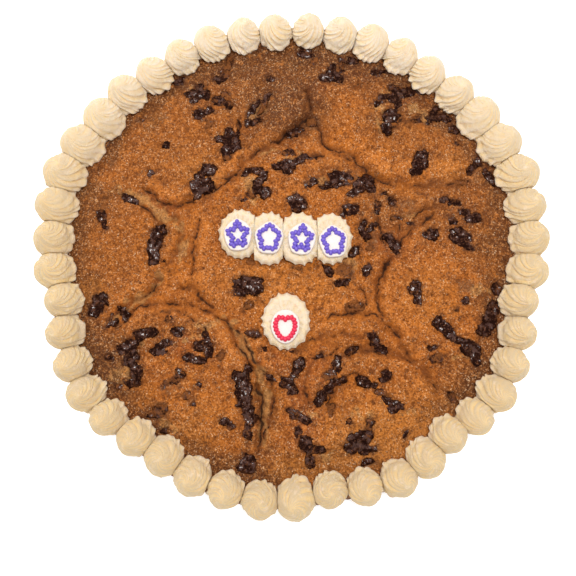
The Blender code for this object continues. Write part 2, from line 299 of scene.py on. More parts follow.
def dollopDistance(x, y):
    # how far outside the nearest dollop of cream, less than 0 under one
    away = np.full(np.shape(x), 999.0)
    for _, cx, cy, halfWidth, halfLength, _, _ in dollops:
        reach = np.hypot((x - cx) / halfWidth, (y - cy) / halfLength)
        away = np.minimum(away, (reach - 1.0) * min(halfWidth, halfLength))
    return away


cookie = {
    "rimTop": 14.0, "shelfStart": 130.2, "shelfBlend": 15.5, "skin": 0.4,
    "seatHeight": 16.6, "seatMargin": 9.0, "seatBlend": 14.0,
    "fineRadius": 138.0, "fineRings": 168,
    "foldSteps": 9, "foldReach": 12.0, "foldDepth": 1.3, "creaseFloor": 2.6, "lip": 0.6,
    "foldFade": 0.14, "wallShape": 1.4, "crackWidth": 0.5, "crackDepth": 1.4,
    "wrinkles": 0.26, "wrinkleSpacing": 4.4, "wrinkleReach": 7.0,
    # wavelength, height
    "lumps": [(24.0, 0.5), (11.0, 0.36), (5.0, 0.2), (2.6, 0.1)],
    # wavelength, how far it pushes an outline
    "foldWarp": [(9.0, 0.5), (3.6, 0.25)], "patchWarp": [(7.0, 1.4)],
    "pits": 900, "pitSeed": 51, "pitSize": (0.6, 1.4), "pitDepth": 0.9, "pitRadius": 132.0, "pitReach": 4.0,
    "dentUnderChocolate": 1.3, "swellByChocolate": 0.3, "tornDepth": 0.25, "tornRoughness": 0.22,
    "stainReach": 1.9, "seamReach": 4.5, "rimTone": (116.0, 137.0), "edgeTone": (119.0, 134.0),
    "sideWave": 6.0, "sideDents": 0.22, "sideLumps": 0.12,
    # rim and side from the fine top outwards: radius, height, how much of the ring's shift it follows
    "side": [
        (143.0, 14.0, 0.0), (147.6, 14.0, 0.2), (149.8, 13.6, 0.3), (151.2, 12.3, 0.4), (151.9, 10.2, 0.5),
        (151.9, 7.6, 0.5), (151.7, 5.0, 0.5), (151.3, 2.8, 0.5), (150.6, 1.0, 0.5), (149.4, 0.0, 0.5),
    ],
}

# x, y, radius, rise of each ball of dough
doughBalls = [
    (-3, 6, 66, 2.6), (-70, 76, 46, 2.8), (-14, 104, 34, 3.6), (82, 80, 46, 2.8), (92, 26, 30, 1.6),
    (96, -28, 45, 2.8), (38, -110, 50, 3.2), (-71, -90, 54, 3.0), (-112, -4, 36, 2.4), (112, -86, 30, 1.4),
]

# folds where the balls ran together: depth, reach of the slope on the left and on the right of the
# way the fold runs, how far it cracked open, and the points it passes through
folds = [
    (2.3, 2.4, 4.6, 1.0, [(-94, 37.5), (-87, 34.5), (-80, 30), (-73, 27.5), (-67, 29), (-57, 31)]),
    (2.1, 2.4, 4.6, 0.7, [(-58, 31), (-51, 34.5), (-42, 40.5), (-38, 46), (-34, 50)]),
    (1.9, 2.6, 4.4, 0.3, [(-36, 47), (-30, 55), (-24, 60.5), (-17, 65.5), (-8, 71)]),
    (1.3, 2.2, 3.0, 0.6, [(-48, 44.5), (-42, 44), (-37, 46), (-30, 50)]),
    (3.1, 1.8, 5.0, 1.4, [(-13, 69), (-5, 73.5), (1, 78), (7, 82), (12, 88)]),
    (2.5, 2.4, 3.8, 0.4, [(11, 84), (12, 91), (11.5, 98), (8, 107)]),
    (1.7, 3.4, 3.0, 0.6, [(12, 87), (17, 82), (19, 76), (20, 70), (25, 65.5), (31, 63.3), (37, 61)]),
    (1.7, 3.6, 4.0, 0.35, [(36, 61.5), (41, 57), (46, 52), (51, 46), (58, 43), (66, 41.5)]),
    (1.2, 4.0, 3.0, 0.2, [(10, 60), (17, 59.5), (26, 61), (34, 59), (41, 53)]),
    (1.4, 5.0, 5.0, 0.05, [(62, 42), (74, 40.5), (88, 40.5), (100, 41), (114, 44)]),
    (1.2, 3.0, 4.0, 0.4, [(90, 24), (81, 16), (74, 11), (68, 5), (63, -2)]),
    (0.9, 2.0, 2.4, 0.3, [(73, 18), (80, 22.5), (88, 26), (96, 26)]),
    (0.9, 1.6, 2.4, 0.5, [(53, 21), (54.5, 13), (55, 6), (57, 0)]),
    (0.9, 2.0, 2.4, 0.3, [(66, 16), (66.5, 9), (66, 3)]),
    (2.0, 2.4, 4.4, 0.8, [(63, -2), (58, -11), (53.5, -20), (52, -29), (53, -38), (56, -46)]),
    (1.8, 2.6, 4.0, 0.5, [(56, -45), (61, -51), (65, -56), (67, -62), (71, -66.5), (77, -71)]),
    (1.2, 2.6, 3.0, 0.7, [(129, 38), (124, 31), (121, 26), (118, 18)]),
    (1.2, 2.2, 3.0, 0.6, [(-132, 38), (-126, 35.5), (-119, 32.5), (-112, 33)]),
    (1.2, 3.0, 2.4, 0.3, [(-110, 38), (-103, 32), (-96, 28), (-89, 24), (-83, 17), (-80, 8)]),
    (1.3, 3.4, 2.8, 0.1, [(-76, 24), (-70, 17), (-68.5, 6), (-72, -5), (-79, -14)]),
    (1.5, 2.6, 3.0, 0.6, [(-56, 20), (-57.5, 10), (-59, 1), (-60.5, -10), (-60.5, -22)]),
    (1.6, 2.6, 3.0, 0.75, [(-69, -26.5), (-64, -24.3), (-59.5, -25), (-55, -30), (-50, -35), (-45, -39)]),
    (1.8, 3.0, 3.4, 0.25, [(-108, -43), (-100, -37), (-91.5, -31), (-86, -27.5), (-82.5, -22), (-81, -12)]),
    (1.6, 3.6, 2.6, 0.45, [(-106, -52), (-98, -42), (-91, -36.5), (-80, -34.5), (-72, -34.5), (-64, -35)]),
    (1.1, 3.0, 2.4, 0.1, [(-84, -42), (-74, -39), (-64, -41), (-55, -46)]),
    (1.6, 3.4, 2.6, 0.3, [(-66, -35), (-56, -37.5), (-47, -41), (-40, -45), (-34, -50)]),
    (2.2, 3.4, 2.2, 0.35, [(-42, -41), (-37.5, -47.5), (-33, -57.5), (-28.5, -64), (-24, -71), (-20.5, -79)]),
    (2.4, 3.0, 2.2, 0.75, [
        (-21, -78), (-18.5, -88), (-17, -98), (-17.5, -108), (-18.5, -117), (-19.5, -127)]),
    (1.7, 2.2, 3.0, 0.65, [(-34, -49), (-29, -56), (-23.5, -64), (-18, -73), (-12.5, -79)]),
    (1.5, 2.2, 3.4, 0.3, [(-12.5, -77), (-11, -85), (-10.5, -93), (-12, -101), (-15, -109), (-17, -120)]),
    (1.2, 2.6, 3.6, 0.6, [(20, -45), (25, -41.5), (31, -40.5), (38, -40), (46, -40.5), (53, -43), (58, -49)]),
    (1.2, 3.0, 3.0, 0.15, [(2, -63), (12, -57), (24, -53.5), (36, -53), (46, -56)]),
    (0.8, 2.0, 2.4, 0.4, [(10, -68), (17, -67), (24, -64), (31, -59)]),
    (1.9, 4.4, 2.4, 0.15, [(29, -68), (35, -63.5), (43, -62), (52, -63), (61, -65), (69, -68), (75, -72)]),
    (2.1, 4.4, 2.4, 0.25, [(73, -70), (80, -77), (84, -84), (86, -92), (84.5, -100), (81, -107)]),
    (0.8, 1.6, 2.2, 0.7, [(30, -78), (35, -76.6), (41, -75.6)]),
    (1.6, 3.0, 2.0, 0.3, [(33, -80), (27, -82.5), (22.5, -88), (22, -95), (25, -102)]),
    (1.1, 2.6, 2.6, 0.1, [(14, -68), (9.5, -76), (8.5, -85), (10, -95)]),
    (1.4, 2.4, 2.6, 0.75, [(74, -105), (67.5, -108.5), (62.5, -113.5), (56, -119)]),
    (0.5, 1.2, 1.2, 1.0, [(-53.5, 111), (-54.3, 107), (-54.3, 102)]),
    (0.6, 1.2, 1.4, 1.0, [(-35, 86), (-33, 81), (-33, 76), (-33.6, 71)]),
    (0.7, 1.4, 1.4, 0.8, [(75, 83.5), (81, 81.4), (88, 81)]),
    (0.7, 1.4, 1.4, 0.8, [(71, 85), (68, 81), (63, 77.5), (58, 74)]),
    (0.7, 1.6, 1.6, 0.5, [(41, 106), (46, 109), (52, 111)]),
    (0.8, 1.6, 2.0, 0.5, [(40, -25), (44.5, -30), (45.5, -36)]),
]


# lobes of the chocolate pieces: x, y, length, width, turn, how proud it stands, and how far a
# thin film of dough veils it
chunks = [
    (-60, 100.5, 12, 9.5, 20, 1.1, 0.0), (-65, 101.5, 7, 5, 20, 0.9, 0.0),
    (-59.5, 105.5, 7, 5, 80, 1.0, 0.0), (-62, 96, 7, 5, 45, 0.9, 0.1), (-55.5, 100, 8, 5, 80, 0.9, 0.1),
    (-46, 96, 8, 6, -30, 0.7, 0.3), (-41, 93.5, 8, 5, -35, 0.7, 0.3), (-43, 101, 5, 4, 0, 0.4, 0.6),
    (-58.5, 87, 8, 7, 0, 0.8, 0.15), (-53.5, 89, 8, 3.2, 15, 0.8, 0.15), (-52, 80, 6, 3, 60, 0.2, 0.7),
    (-41, 124, 10, 4, 78, 0.5, 0.5), (-43, 116.5, 10, 6, 60, 0.6, 0.45), (-47, 112, 5.5, 4, 0, 0.8, 0.1),
    (-13.5, 110.5, 4, 4, 0, 0.4, 0.4), (-16, 97.5, 10, 3, 58, 0.6, 0.3), (-24.5, 90, 15, 2.6, 56, 0.6, 0.2),
    (-18, 91, 12, 2.2, 60, 0.5, 0.5), (-27, 81, 6.5, 4.5, -10, 0.8, 0.1), (-22, 82, 6, 2.4, 25, 0.6, 0.3),
    (-38, 67.5, 12, 11, 60, 1.4, 0.0), (-45.5, 70, 5.5, 4, 20, 0.9, 0.0), (-39, 73.5, 8, 6, 80, 1.2, 0.0),
    (-41, 63, 8, 6, 40, 1.0, 0.0), (-41, 58.5, 6, 3.6, 0, 0.4, 0.5), (-33.6, 77, 13, 1.5, 86, 0.2, 0.3),
    (-52, 50, 9, 8, 20, 1.3, 0.0), (-57, 46, 6, 5, 40, 0.9, 0.1), (-60, 38.5, 10, 6, 75, 1.1, 0.0),
    (-54, 41, 11, 4.4, 22, 0.9, 0.1), (-53, 37, 11, 3.6, 15, 0.9, 0.1), (-59, 33, 5, 4, 70, 0.5, 0.2),
    (-23, 49.3, 15, 3.6, 4, 1.0, 0.0), (-29.5, 47, 5, 2.6, 50, 0.8, 0.1),
    (-18.5, 44.5, 9, 4.6, 60, 1.2, 0.0), (-21, 38.5, 10, 6, 85, 1.2, 0.0), (-16.5, 34.5, 7, 7, 0, 1.2, 0.0),
    (-30, 29.8, 5.5, 2.8, 0, 0.7, 0.2), (-26, 33.5, 6, 3, -50, 0.6, 0.5), (-1, 61.5, 8.5, 5, 0, 0.8, 0.45),
    (-3, 52.5, 11, 8, 0, 1.2, 0.0), (6, 57, 12, 4.6, 35, 1.0, 0.05), (-10, 52, 4, 4, 0, 0.7, 0.1),
    (-3, 48.5, 6, 4, 0, 0.9, 0.0), (13, 58, 7, 2.4, 10, 0.3, 0.4), (-78.5, 66, 4, 3.2, 0, 0.4, 0.1),
    (-88, 47.5, 4, 3.2, 30, 0.4, 0.1), (-95.5, 84.5, 3, 3, 0, 0.1, 0.6), (-74, 112, 9, 6.5, -20, 0.7, 0.2),
    (-119, 68, 5, 3.6, 40, 0.6, 0.2), (-129, 49, 5, 4, 0, 0.6, 0.2), (-117, 20.5, 8, 5.4, -65, 0.7, 0.15),
    (-114.5, 14.5, 9, 4, -75, 0.6, 0.3), (-103, 32, 6.5, 4, -20, 0.7, 0.1),
    (-98.5, 30, 6, 3.4, -20, 0.7, 0.2), (-80.5, 11, 8, 6.6, 0, 0.9, 0.1), (-83.5, 2, 20, 7.4, 81, 1.2, 0.0),
    (-83.5, -7, 9, 6.4, 80, 1.1, 0.0), (-77, -9, 4, 3, 20, 0.2, 0.6), (2, 76.5, 13, 4.4, 22, 0.1, 0.35),
    (13, 83.5, 6, 4.6, -40, 0.2, 0.6), (-26, -24, 18, 10.5, 0, 2.1, 0.0), (-31, -26.5, 8, 6.4, 0, 1.4, 0.0),
    (9.5, 131, 11, 6, 0, 0.7, 0.1), (15, 125, 8, 3, 60, 0.2, 0.7), (26.5, 114.5, 10, 8.4, 0, 1.0, 0.05),
    (20.5, 114, 6.5, 4.4, 0, 0.8, 0.1), (26.5, 119.5, 6.5, 5, 80, 0.9, 0.05),
    (31, 112.5, 6, 4.6, 80, 0.8, 0.1), (33, 122.5, 13, 2.4, 88, 0.2, 0.4), (40, 125.5, 8, 5, 0, 0.6, 0.2),
    (58, 117.6, 14, 2.8, 4, 0.2, 0.2), (67, 105.5, 9.5, 5, 8, 0.9, 0.3),
    (73.5, 102.5, 14, 6.4, 25, 1.0, 0.05), (82, 104, 8, 4, 0, 0.6, 0.1), (60, 98.6, 9, 4.4, 12, 0.8, 0.15),
    (56, 95.4, 7.5, 4, 28, 0.8, 0.3), (66, 97.5, 9, 7.4, -40, 1.1, 0.0), (67.5, 93, 6, 5, 60, 0.8, 0.1),
    (63.5, 85.5, 10.5, 9, 60, 1.1, 0.1), (60.5, 80, 10, 6, 80, 1.2, 0.0), (61, 75, 5, 3.2, 80, 0.8, 0.0),
    (80, 84.5, 6, 5, 60, 0.5, 0.45), (88, 84, 5.5, 4, 20, 0.8, 0.05), (95, 85.5, 13, 6, -8, 1.0, 0.0),
    (92, 90, 8, 4, 50, 0.7, 0.1), (104, 77.5, 8, 6.4, 20, 0.8, 0.1), (81, 55.5, 13, 9.4, 65, 1.6, 0.0),
    (78, 48.6, 9, 3.4, 10, 0.9, 0.05), (106, 68.5, 5, 3, 0, 0.2, 0.5), (117, 55, 9, 4, 58, 0.8, 0.15),
    (112, 49.5, 8, 3.6, 62, 0.7, 0.25), (107, 42.5, 8, 3, 12, 0.4, 0.6),
    (124.5, 45.5, 13, 4.6, -58, 0.7, 0.1), (31, 45.7, 16, 5.4, -4, 1.3, 0.0), (29, 41, 16, 4, 0, 1.0, 0.05),
    (13.5, 42, 7, 4.2, 70, 0.7, 0.1), (11, 39, 6, 2.6, 0, 0.6, 0.2), (21, 38.4, 10, 1.8, 0, 0.4, 0.2),
    (47, 44, 9, 7.4, 0, 1.2, 0.05), (43, 40, 13, 8, 30, 1.3, 0.0), (38, 34.4, 7, 5, 35, 0.9, 0.1),
    (50.5, 38, 7, 5, 80, 0.9, 0.15), (3, 28, 12, 10.6, 0, 1.3, 0.1), (36.5, 24, 11, 6.6, 0, 1.1, 0.05),
    (34, 20.6, 7, 4, 0, 0.8, 0.1), (63, 29.5, 6, 4, -70, 0.5, 0.3), (58, 35, 5, 3, 0, 0.4, 0.4),
    (53.3, 26, 10, 3.4, 78, 0.4, 0.4), (66, 18.5, 8, 2.6, -12, 0.4, 0.5), (73, 15.4, 3.4, 3, 0, 0.4, 0.2),
    (95, 30.6, 7.5, 2.8, 0, 0.6, 0.2), (101, 29, 9, 3.4, -8, 0.6, 0.2), (107, 22, 8, 4, 0, 0.8, 0.1),
    (112, 18.6, 11, 6, 0, 1.0, 0.05), (99, 16.5, 6, 5, 0, 0.8, 0.1), (85, 8, 10, 6.4, 0, 1.0, 0.1),
    (103.5, 6.5, 14, 10.4, -42, 1.3, 0.0), (107.5, 0, 7, 5, -50, 1.0, 0.05),
    (43.5, 13, 10, 3, 60, 0.8, 0.1), (50, 13.6, 7, 3, 50, 0.8, 0.1), (45, 8, 8, 3.4, -45, 0.8, 0.2),
    (38, -3, 9, 4, 45, 0.7, 0.1), (47.5, -1, 4, 3, 0, 0.3, 0.6), (59, 7, 5.5, 4, 0, 0.8, 0.1),
    (62.5, 3, 10, 6, -50, 1.0, 0.05), (64.5, -2, 4.5, 3, -60, 0.6, 0.1),
    (22.5, -14.5, 10, 4, -60, 0.7, 0.1), (31, -22, 11, 3.2, 15, 0.6, 0.2), (32, -14.5, 9, 7, 0, 0.2, 0.75),
    (45.5, -14, 8.5, 4.4, 68, 0.9, 0.05), (3.5, -13, 5, 4, 0, 0.2, 0.7),
    (37.5, -36.8, 14, 4.2, 5, 0.4, 0.6), (74.5, -26, 9.5, 7.2, 85, 1.1, 0.2),
    (75.6, -32, 7, 4.6, 80, 0.9, 0.1), (104.5, -33, 4.4, 3.4, 70, 0.6, 0.1), (98.5, -39, 3, 2, 0, 0.3, 0.3),
    (91.5, -50, 20, 6.6, -46, 1.2, 0.0), (105.5, -61, 14, 9, -28, 1.2, 0.0),
    (109.5, -67, 9, 5, 85, 0.9, 0.05), (101, -57, 6.5, 3.6, -30, 0.9, 0.0),
    (121, -38, 11, 7.4, 62, 1.0, 0.1), (118, -46, 12, 8.6, 65, 1.1, 0.05),
    (114.5, -51, 9, 5.4, 0, 0.9, 0.1), (124, -26, 7, 5, 80, 0.6, 0.3), (83.5, -61, 4.6, 2.6, 0, 0.5, 0.2),
    (86, -67, 8, 5, 10, 0.4, 0.55), (49, -55.6, 9.5, 5, -72, 1.0, 0.1),
    (53.5, -61.6, 8.5, 3.8, -25, 0.9, 0.1), (36.5, -62, 9.5, 3.2, 35, 0.7, 0.25),
    (27, -71, 9.5, 5, 80, 0.9, 0.15), (22.5, -77, 8, 5, 10, 0.5, 0.5), (4, -71, 9.5, 6, 62, 0.8, 0.15),
    (2, -76.5, 4, 3, 0, 0.5, 0.3), (-2.5, -81.5, 8, 6.4, 20, 0.9, 0.1), (0.5, -86, 6.5, 4, 0, 0.8, 0.15),
    (27.5, -80.8, 9.5, 3.4, 22, 1.0, 0.0), (21.5, -84.8, 9, 5, 42, 1.1, 0.0),
    (17, -90, 8.5, 5.2, 58, 1.0, 0.1), (42, -80.5, 8.5, 6, -20, 1.4, 0.0),
    (48, -82.5, 3.6, 2.4, 0, 0.8, 0.1), (56, -76.6, 6, 5, 30, 1.4, 0.0), (52.3, -79.6, 4, 3.4, 0, 1.2, 0.0),
    (51.5, -86.6, 5.6, 3, 0, 0.4, 0.4), (60, -95, 9.5, 6.6, 12, 1.1, 0.1), (56, -92, 5, 4, -60, 0.9, 0.2),
    (1.5, -98.4, 9, 4.4, -8, 0.7, 0.3), (7.5, -102, 7, 4, -40, 0.7, 0.2), (4, -108.6, 5, 4, 60, 0.5, 0.2),
    (8, -116, 9, 7.6, 80, 1.0, 0.1), (10.3, -124, 11, 4.8, -76, 0.9, 0.25),
    (15.5, -119, 9, 4.4, 5, 0.7, 0.3), (38, -114, 12.5, 10, 15, 1.5, 0.0), (34, -118.5, 7, 6, 0, 1.3, 0.0),
    (43.5, -112.5, 9, 5.4, 80, 1.2, 0.1), (42, -119.6, 7, 4, 0, 1.1, 0.05),
    (45, -105, 8, 3.6, 70, 0.5, 0.5), (47, -119, 5, 4, 0, 0.7, 0.2), (44.5, -127, 8, 5, 0, 0.7, 0.2),
    (33, -103.5, 3.4, 3, 0, 0.4, 0.3), (23, -96.5, 8, 3.6, 80, 0.5, 0.55),
    (66, -110.5, 5, 2.2, 42, 0.3, 0.2), (94, -90, 8.5, 2.6, -62, 0.4, 0.3),
    (-115, -32.5, 9.5, 8, 20, 1.1, 0.05), (-118, -38.4, 10, 7.6, 40, 1.0, 0.1),
    (-102, -38.6, 5, 4, 0, 0.8, 0.1), (-107.5, -46.8, 8, 3.8, 32, 0.9, 0.15),
    (-99.5, -42.6, 5, 2.8, 60, 0.8, 0.1), (-108.5, -43.5, 5, 2, 60, 0.5, 0.3),
    (-87.5, -53, 15, 6, 16, 1.3, 0.0), (-97, -60.6, 13, 7, 14, 1.1, 0.05),
    (-94.5, -67, 11, 8, 70, 1.1, 0.1), (-92, -72, 7, 4, -40, 0.9, 0.1), (-90.5, -76, 9, 7.6, 80, 1.0, 0.2),
    (-93, -81.5, 10, 4.6, 20, 0.9, 0.15), (-101.5, -84, 4.6, 3, 20, 0.5, 0.4),
    (-108, -86, 6, 4.4, 30, 0.6, 0.3), (-73.5, -58.4, 7.5, 5, 12, 1.0, 0.1),
    (-78.5, -62.6, 8.5, 7, 20, 1.2, 0.0), (-75, -64, 5, 4, 0, 0.9, 0.1), (-108, -67, 4.6, 2.6, 0, 0.3, 0.4),
    (-67.5, -50, 8.5, 2.8, 4, 0.7, 0.1), (-67, -52.6, 4.6, 3.4, 0, 0.7, 0.1),
    (-72.5, -43.6, 5.4, 4, 0, 0.5, 0.4), (-50.5, -54, 9, 3.2, -72, 0.8, 0.1),
    (-53, -60.4, 8.5, 6.4, 0, 1.1, 0.1), (-48.6, -62.4, 8.5, 5, 85, 1.0, 0.1),
    (-60.3, -67, 6.4, 4.6, 0, 1.0, 0.0), (-55, -68, 9, 3.6, -8, 0.9, 0.05),
    (-65.5, -76, 6.4, 5.4, 80, 0.7, 0.4), (-67, -80, 3.6, 3, 0, 0.5, 0.4),
    (-72, -81.6, 6.4, 3.4, 30, 0.4, 0.6), (-53.5, -82.6, 3.4, 3, 0, 0.4, 0.2),
    (-61, -89, 6.4, 3.4, 0, 0.4, 0.6), (-56.5, -93.6, 3, 2, 0, 0.3, 0.2), (-76, -97, 10, 7, 42, 0.5, 0.5),
    (-81.5, -100.5, 6, 2.4, 0, 0.5, 0.3), (-74, -109, 4.4, 3.2, 0, 0.4, 0.2),
    (-38, -103.6, 6.4, 3.8, 0, 1.0, 0.05), (-34.4, -106.4, 3.4, 3, 0, 0.5, 0.5),
    (-30.5, -77.6, 9, 6, 0, 1.1, 0.05), (-25.7, -74, 6, 3, 80, 0.8, 0.05),
    (-28, -83.6, 11.5, 8.6, 80, 1.3, 0.0), (-27.5, -91, 9.5, 8, 80, 1.2, 0.0),
    (-25, -97, 9, 6.4, -62, 1.1, 0.0), (-23, -101.6, 8.5, 3.4, 0, 0.8, 0.05),
    (-25, -106.6, 8, 4.8, 80, 0.8, 0.35), (-25, -111.4, 5, 4.6, 80, 0.7, 0.1),
    (-41.5, -66, 6, 2.8, 70, 0.3, 0.5), (-25.5, -128, 11, 9.4, 80, 1.0, 0.1),
    (-26.5, -36.5, 7.6, 3.2, 46, 0.4, 0.6), (-23.5, -53, 9.5, 3.4, -14, 0.6, 0.3),
    (-24.5, -8, 9, 6, 0, 0.1, 0.75), (-12.5, -78.6, 5.4, 4, 0, 0.0, 0.2), (-16, -62, 3.4, 2.2, 0, 0.3, 0.3),
    (0, -63, 4.6, 2.4, 0, 0.3, 0.4), (17, -65.5, 3.6, 3, 0, 0.4, 0.3),
]

# pale torn dough beside folds and inside broken chunks: x, y, length, width, turn
tornPlaces = [
    (-102, 34.5, 18, 4.4, -18), (-91, 30, 17, 5.6, -30), (-84, 25, 11, 5, -38), (-78, 19, 10, 6, -50),
    (-20.5, 89, 13, 5, 57), (-27, 40.5, 12, 7.6, 85), (-22.5, 30, 6, 3.4, 0), (-2, 57, 8, 2.6, 8),
    (-49, 38, 8, 5, 55), (-63, 104, 3.4, 3, 0), (-42.8, 72, 3.4, 3, 0), (19, 42, 6, 4, 0),
    (-103.8, -42.8, 8, 5, 48), (47, 9, 9, 3.4, 65), (85, 85, 8, 7, 0), (56, 91.4, 7, 3, 0),
    (61, 101.4, 8, 1.8, 8), (57, 80, 10, 2.6, 85), (72, 19.4, 7, 3.2, 0), (100, -65.4, 6, 4.4, 0),
    (57.6, -93, 4, 3, 0), (68, -99, 6, 5, 0), (36, -99, 6, 4, 0), (45, -101, 6, 6, 0), (11, -99, 8, 3, -30),
    (20, -122, 9, 5, 0), (-51.6, -48.4, 9, 5, -10), (-44, -44.4, 9, 4, -25), (-70, -106, 12, 5, -20),
    (38, -12, 6, 5, 0), (-19.2, -86, 6, 2.6, 90), (112, -26, 11, 7, 0), (-58, -54, 7, 5, 0),
    (-88, -58, 6, 3, 0), (-70, 14, 14, 5, -68), (-67, -1, 16, 5, 85), (-33, -51, 15, 4.6, -50),
    (-25.5, -64, 17, 4.6, -58), (-18, -77, 14, 4.4, -66), (-14.5, -92, 18, 4.4, 88),
    (-15.5, -109, 17, 4, 97), (-94, -34, 24, 4.6, 36), (-81, -21, 14, 4, 62), (6, 60, 5, 2, 0),
    (-100, -76, 14, 8, 0), (78, 91, 12, 6, -10), (32, -8, 14, 5, 0), (-15, 62, 12, 3, 30),
]

# dough that a smear of melted chocolate greyed: x, y, length, width, turn
smearPlaces = [
    (114.5, 47.5, 14, 4.4, 62), (70, 26.5, 15, 9, 0), (49.5, 3, 12, 4.6, 68), (-81, 83, 12, 4, 65),
    (-76, -98, 13, 9, 40), (22, -77, 9, 6, 0), (43, -110, 8, 12, 0), (14, -122, 10, 8, 0),
    (-70, -84, 14, 6, 20), (104, -24, 12, 8, 0), (-100, 84, 6, 4, 0), (13, 82, 8, 8, 0),
    (-20, 88, 14, 6, 57), (33, -14, 14, 8, 0), (-112, 54, 6, 4, 0),
]

# dough that baked darkest: x, y, length, width, turn, strength
darkPlaces = [
    (0, 122, 186, 38, 0, 0.85), (-2, 94, 58, 46, 0, 1.0), (-36, 90, 20, 20, 0, 0.4),
    (68, 88, 46, 26, 20, 0.6), (-16, 70, 34, 22, 20, 0.45), (28, 50, 34, 18, 0, 0.35),
    (56, 20, 34, 40, 0, 0.55), (98, 24, 64, 36, 0, 0.5), (116, 6, 36, 40, 0, 0.65),
    (86, 88, 40, 20, 0, 0.4), (120, -28, 20, 30, 0, 0.5), (-116, 32, 38, 20, -20, 0.4),
    (-80, 10, 18, 26, 0, 0.4), (122, -30, 24, 44, 0, 0.55), (-120, -50, 26, 28, 0, 0.6),
    (-104, -68, 32, 34, 0, 1.0), (-58, -50, 18, 14, 0, 0.4), (-78, -52, 44, 20, 10, 0.35),
    (102, -82, 34, 34, 40, 0.6), (-18, -104, 20, 60, 0, 0.6), (2, -94, 30, 50, 0, 0.15),
    (-84, -112, 34, 22, -40, 0.5), (38, -68, 34, 16, 0, 0.3), (-46, 110, 50, 26, 25, 0.3),
]

# dough that baked palest: x, y, length, width, turn, strength
palePlaces = [
    (52, -112, 66, 38, 12, 1.0), (-6, -20, 84, 34, 0, 0.45), (-56, 48, 30, 20, 0, 0.5),
    (-52, -104, 40, 28, 0, 0.45), (84, -30, 34, 34, 0, 0.35), (76, -90, 34, 24, 0, 0.5),
    (100, 50, 22, 22, 0, 0.5), (10, -129, 40, 20, 0, 0.7), (82, -108, 26, 26, 0, 0.7),
    (-120, -28, 20, 18, 0, 0.5),
]

# dough that browned more all over: x, y, length, width, turn
brownedPlaces = [
    (-66, 74, 110, 66, 42), (80, 82, 90, 58, -40), (-112, -4, 44, 60, 0), (-10, 104, 60, 36, 0),
]

# dough that browned to a deeper red: x, y, length, width, turn
ruddyPlaces = [
    (0, 92, 34, 22, 70), (16, 104, 26, 10, 60), (6, -96, 20, 46, 8), (14, -74, 16, 22, 0),
    (60, 4, 26, 22, 0), (-62, -60, 18, 14, 0), (-10, -68, 22, 10, -30), (78, 98, 26, 10, 20),
    (40, 118, 40, 10, -15), (-80, 28, 10, 20, 60),
]


def foldLine(points):
    # places about a millimetre apart on the smooth line through a fold's points
    stops = [(number, *point) for number, point in enumerate(points)]
    at = np.linspace(0.0, len(points) - 1.0, cookie["foldSteps"] * (len(points) - 1) + 1)
    return curveThrough(stops, 1, at), curveThrough(stops, 2, at)


def foldPlaces(x, y):
    # for every point: depth of the folds, crack in them, lip beside them, how near one is, and the painted
    # shade in them
    warpX, warpY = warped(x, y, cookie["foldWarp"], 1)
    drop, crack, lip, valley = (np.zeros(x.shape) for _ in range(4))
    near = np.full(x.shape, 99.0)
    reach = cookie["foldReach"]
    for number, (depth, leftReach, rightReach, opening, points) in enumerate(folds):
        lineX, lineY = foldLine(points)
        closeInX = (x > lineX.min() - reach) & (x < lineX.max() + reach)
        closeInY = (y > lineY.min() - reach) & (y < lineY.max() + reach)
        close = np.nonzero(closeInX & closeInY)[0]
        if not len(close):
            continue
        wayX, wayY = np.gradient(lineX), np.gradient(lineY)
        pace = np.hypot(wayX, wayY)
        wayX, wayY = wayX / pace, wayY / pace
        px, py = warpX[close], warpY[close]
        nearest = np.argmin((px[:, None] - lineX) ** 2 + (py[:, None] - lineY) ** 2, axis=1)
        offX, offY = px - lineX[nearest], py - lineY[nearest]
        forward = offX * wayX[nearest] + offY * wayY[nearest]
        side = wayX[nearest] * offY - wayY[nearest] * offX
        last = len(lineX) - 1
        beyond = ((nearest == 0) & (forward < 0)) | ((nearest == last) & (forward > 0))
        away = np.where(beyond, np.hypot(offX, offY), np.abs(side))
        share = nearest / last
        fade = smoothStep(0.0, cookie["foldFade"], np.minimum(share, 1.0 - share))
        slope = np.where(side > 0, leftReach, rightReach)
        steep = min(leftReach, rightReach)
        towardsBall = side if leftReach <= rightReach else -side
        deep = cookie["foldDepth"] * depth * (0.3 + 0.7 * fade)
        # a steep wall under the ball's edge, and a gentle slope away from it
        drop[close] = np.maximum(drop[close], deep * np.exp(-np.abs(away / slope) ** cookie["wallShape"]))
        # painted shade along the fold, darkest at its line
        shade = min(1.0, 0.45 + 0.3 * depth) * fade * np.exp(-((away / (0.5 * slope)) ** 2))
        valley[close] = np.maximum(valley[close], shade)
        # the lip beside the ball is raised, and the same share gives it a painted highlight
        swell = np.exp(-(((towardsBall - 2.0 * steep) / steep) ** 2)) * fade * min(depth, 2.0) * ~beyond
        lip[close] = np.maximum(lip[close], swell)
        broken = smoothStep(-0.9, 0.5, ripples(px, py, 13.0, 100 + number) + 2.2 * (opening - 0.1))
        width = cookie["crackWidth"] * (0.6 + 0.6 * opening)
        width = width * (1.0 + 0.35 * ripples(px, py, 8.0, 200 + number))
        crack[close] = np.maximum(crack[close], np.exp(-((away / width) ** 2)) * broken * (0.4 + 0.6 * fade))
        # the dough stays plainer on the ball's own side and past the ends of a fold
        counted = np.where(towardsBall > 0, 1.6 * away, away) + 5.0 * (1.0 - fade)
        near[close] = np.minimum(near[close], counted)
    return drop, crack, lip, near, valley


